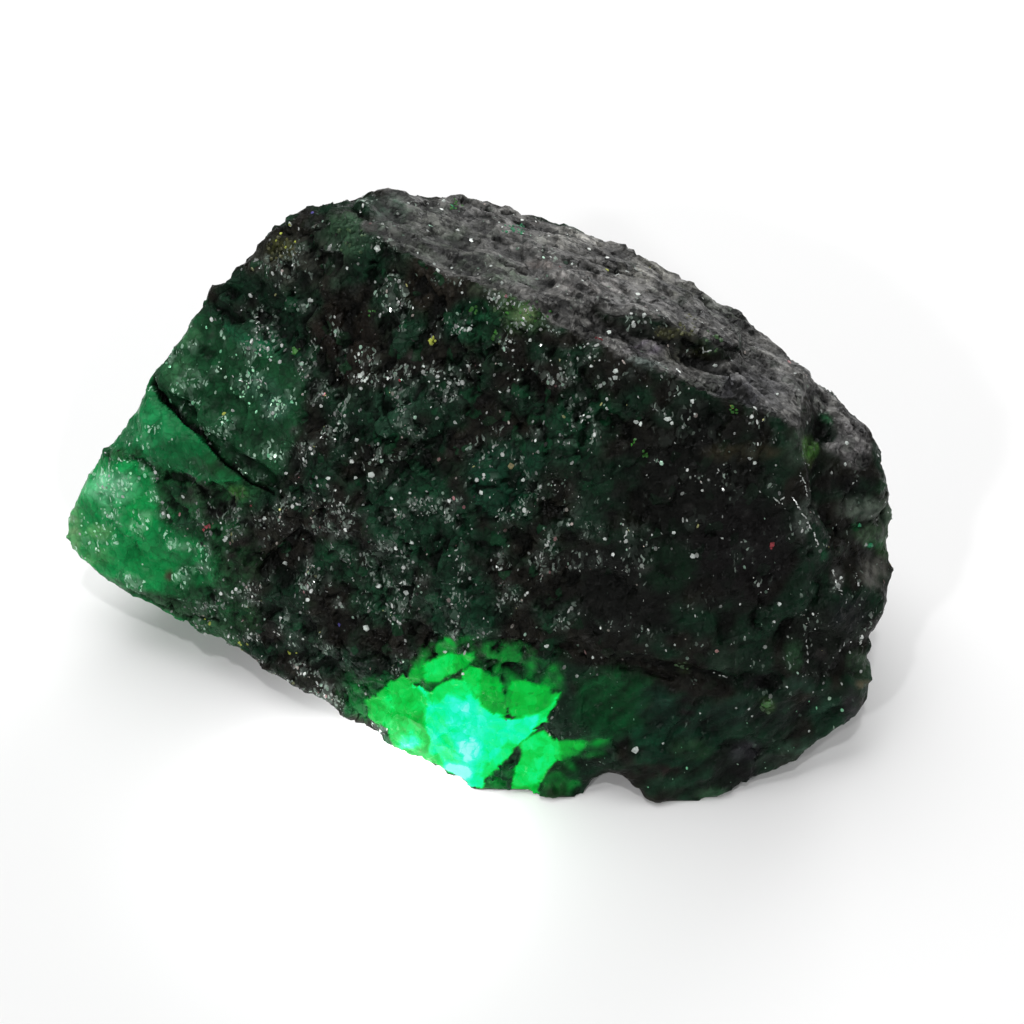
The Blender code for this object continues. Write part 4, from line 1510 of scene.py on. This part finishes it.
class EMERALD_OT_flakes(bpy.types.Operator):
    """Scatters mica flakes over the stone"""

    bl_idname = "emerald.flakes"
    bl_label = "Mica flakes"

    def execute(self, context):
        settings = context.scene.emerald.flakes
        rng = random.Random(settings.seed)
        surface, masks = stone_surface()
        shape = bmesh.new()
        bmesh.ops.create_cone(shape, cap_ends=True, segments=6, radius1=0.5, radius2=0.4, depth=0.3)
        flake = mesh_of(shape, "flake")

        # more flakes where it glitters and on the ridges, none on the painted glow or in the hollows
        ridge = smooth(-0.02, 0.10, -masks["hollow"])
        weights = 0.012 + 0.07 * masks["mica"] + masks["glitter"] * (0.35 + ridge)
        weights = weights * (1 - 0.8 * masks["waxy"])
        bare = (masks["window"] > 0.2) | (masks["height"] < 0.5) | (masks["hollow"] > 0.12)
        weights = np.where(bare, 0.0, weights)
        bm = bmesh.new()
        tints = []
        faces = list(surface.faces)
        flat = {f.index for f, bedding in zip(faces, masks["bedding"]) if bedding > 0.5}
        green = {f.index for f, waxy in zip(faces, masks["waxy"]) if waxy > 0.4}
        span = settings.longest - settings.shortest
        for point, face in list(scattered(faces, weights, settings.count, rng)):
            along = STREAK if face.index in flat else UP
            length = (settings.shortest + span * rng.random() ** 2.4) / MM
            width = length * rng.uniform(0.3, 0.9)
            sizes = (width, length, width * 0.5)
            lifted = point + face.normal * FLAKE_LIFT
            add_shape(bm, flake, seated(lifted, face.normal, along, sizes, rng, 0.45, 0.6))
            mix, dimmest = FLAKE_AND_GLINT_MIX, FLAKE_DIMMEST
            if face.index in green:
                mix, dimmest = GREEN_FLAKE_AND_GLINT_MIX, GREEN_FLAKE_DIMMEST
            tints.append(Vector(drawn_colour(mix, rng)) * (dimmest + (1 - dimmest) * rng.random() ** 1.7))

        # painted highlights: pale flakes along the lit edges of the mica
        tree = BVHTree.FromBMesh(surface)
        for how_many, line in GLINT_TRAILS:
            for i in range(how_many):
                run = (i + rng.random()) / how_many * (len(line) - 1)
                (ax, ay), (bx, by) = line[int(run)], line[int(run) + 1]
                share = run - int(run)
                across = ax + (bx - ax) * share + rng.uniform(-TRAIL_STRAY, TRAIL_STRAY)
                down = ay + (by - ay) * share + rng.uniform(-TRAIL_STRAY, TRAIL_STRAY)
                point, normal = seen_place(tree, (across, down))
                sizes = (0.12, rng.uniform(0.22, 0.42), 0.07)
                along = Vector((bx - ax, 0, ay - by)).normalized()
                lifted = point + normal * FLAKE_LIFT
                add_shape(bm, flake, seated(lifted, normal, along, sizes, rng, 0.3, 0.3))
                tints.append(Vector(FLAKE_AND_GLINT_MIX[0][1]) * rng.uniform(0.35, 1.0))
        surface.free()
        mesh = tinted_mesh(bm, "mica flakes", tints, len(flake.vertices))
        bpy.data.meshes.remove(flake)
        material = loose_material("mica flake", FLAKE_MOTTLE, 0.18, 0.4, metallic=0.3)
        place_piece("mica_flakes", mesh, material)
        return {"FINISHED"}


def area_light(name, place, size, power):
    """A square lamp turned to the stone."""
    lamp = bpy.data.lights.new(name, "AREA")
    lamp.shape = "SQUARE"
    lamp.size = size
    lamp.energy = power
    made = bpy.data.objects.new(name, lamp)
    made.location = place
    made.rotation_euler = (LAMP_TARGET - Vector(place)).to_track_quat("-Z", "Y").to_euler()
    bpy.context.scene.collection.objects.link(made)
    return made


class EMERALD_OT_studio(bpy.types.Operator):
    """Makes the floor, the lights and the camera"""

    bl_idname = "emerald.studio"
    bl_label = "Studio"

    def execute(self, context):
        settings = context.scene.emerald.studio
        bm = bmesh.new()
        bmesh.ops.create_grid(bm, x_segments=1, y_segments=1, size=1.5)
        mesh = mesh_of(bm, "floor")
        material, _, shader = new_material("floor")
        shader.inputs["Base Color"].default_value = (*settings.floor, 1)
        shader.inputs["Roughness"].default_value = 0.9
        mesh.materials.append(material)
        floor = bpy.data.objects.new("floor", mesh)
        context.scene.collection.objects.link(floor)

        world = bpy.data.worlds.new("studio air")
        world.use_nodes = True
        tree = world.node_tree
        background = next(n for n in tree.nodes if n.type == "BACKGROUND")
        background.inputs["Color"].default_value = (1, 1, 1, 1)
        seen = node(tree, "ShaderNodeLightPath").outputs["Is Camera Ray"]
        strength = remap(tree, seen, 0, 1, settings.air, BACKDROP_STRENGTH, ease="LINEAR")
        wire(tree, strength, background.inputs["Strength"])
        context.scene.world = world

        area_light("softbox above", (-0.10, 0.25, 0.55), 0.5, settings.key)
        area_light(*TORCH_SPILL).rotation_euler = (0, 0, 0)
        for lamp in FAR_LAMPS:
            area_light(*lamp)

        camera = bpy.data.cameras.new("camera")
        camera.lens = LENS
        camera.sensor_width = SENSOR
        camera.clip_start = 0.001
        made = bpy.data.objects.new("camera", camera)
        made.location = FRONT_EYE * MM
        made.rotation_euler = (FRONT_TIP, 0, 0)
        context.scene.collection.objects.link(made)
        context.scene.camera = made
        context.scene.view_settings.view_transform = "Standard"
        return {"FINISHED"}


class EMERALD_PT_panel(bpy.types.Panel):
    bl_label = "Raw emerald"
    bl_space_type = "VIEW_3D"
    bl_region_type = "UI"
    bl_category = "Emerald"

    def draw(self, context):
        settings = context.scene.emerald
        for kind in (settings.stone, settings.grains, settings.flakes, settings.studio):
            box = self.layout.box()
            for name in kind.__annotations__:
                box.prop(kind, name)
        for operator in OPERATORS:
            self.layout.operator(operator.bl_idname)


OPERATORS = (EMERALD_OT_stone, EMERALD_OT_grains, EMERALD_OT_flakes, EMERALD_OT_studio)
SETTINGS = (StoneSettings, GrainSettings, FlakeSettings, StudioSettings, EmeraldSettings)


def register():
    for cls in (*SETTINGS, *OPERATORS, EMERALD_PT_panel):
        bpy.utils.register_class(cls)
    bpy.types.Scene.emerald = PointerProperty(type=EmeraldSettings)


def unregister():
    del bpy.types.Scene.emerald
    for cls in reversed((*SETTINGS, *OPERATORS, EMERALD_PT_panel)):
        bpy.utils.unregister_class(cls)


def main():
    register()
    bpy.ops.emerald.stone()
    bpy.ops.emerald.grains()
    bpy.ops.emerald.flakes()
    bpy.ops.emerald.studio()


if __name__ == "__main__":
    main()
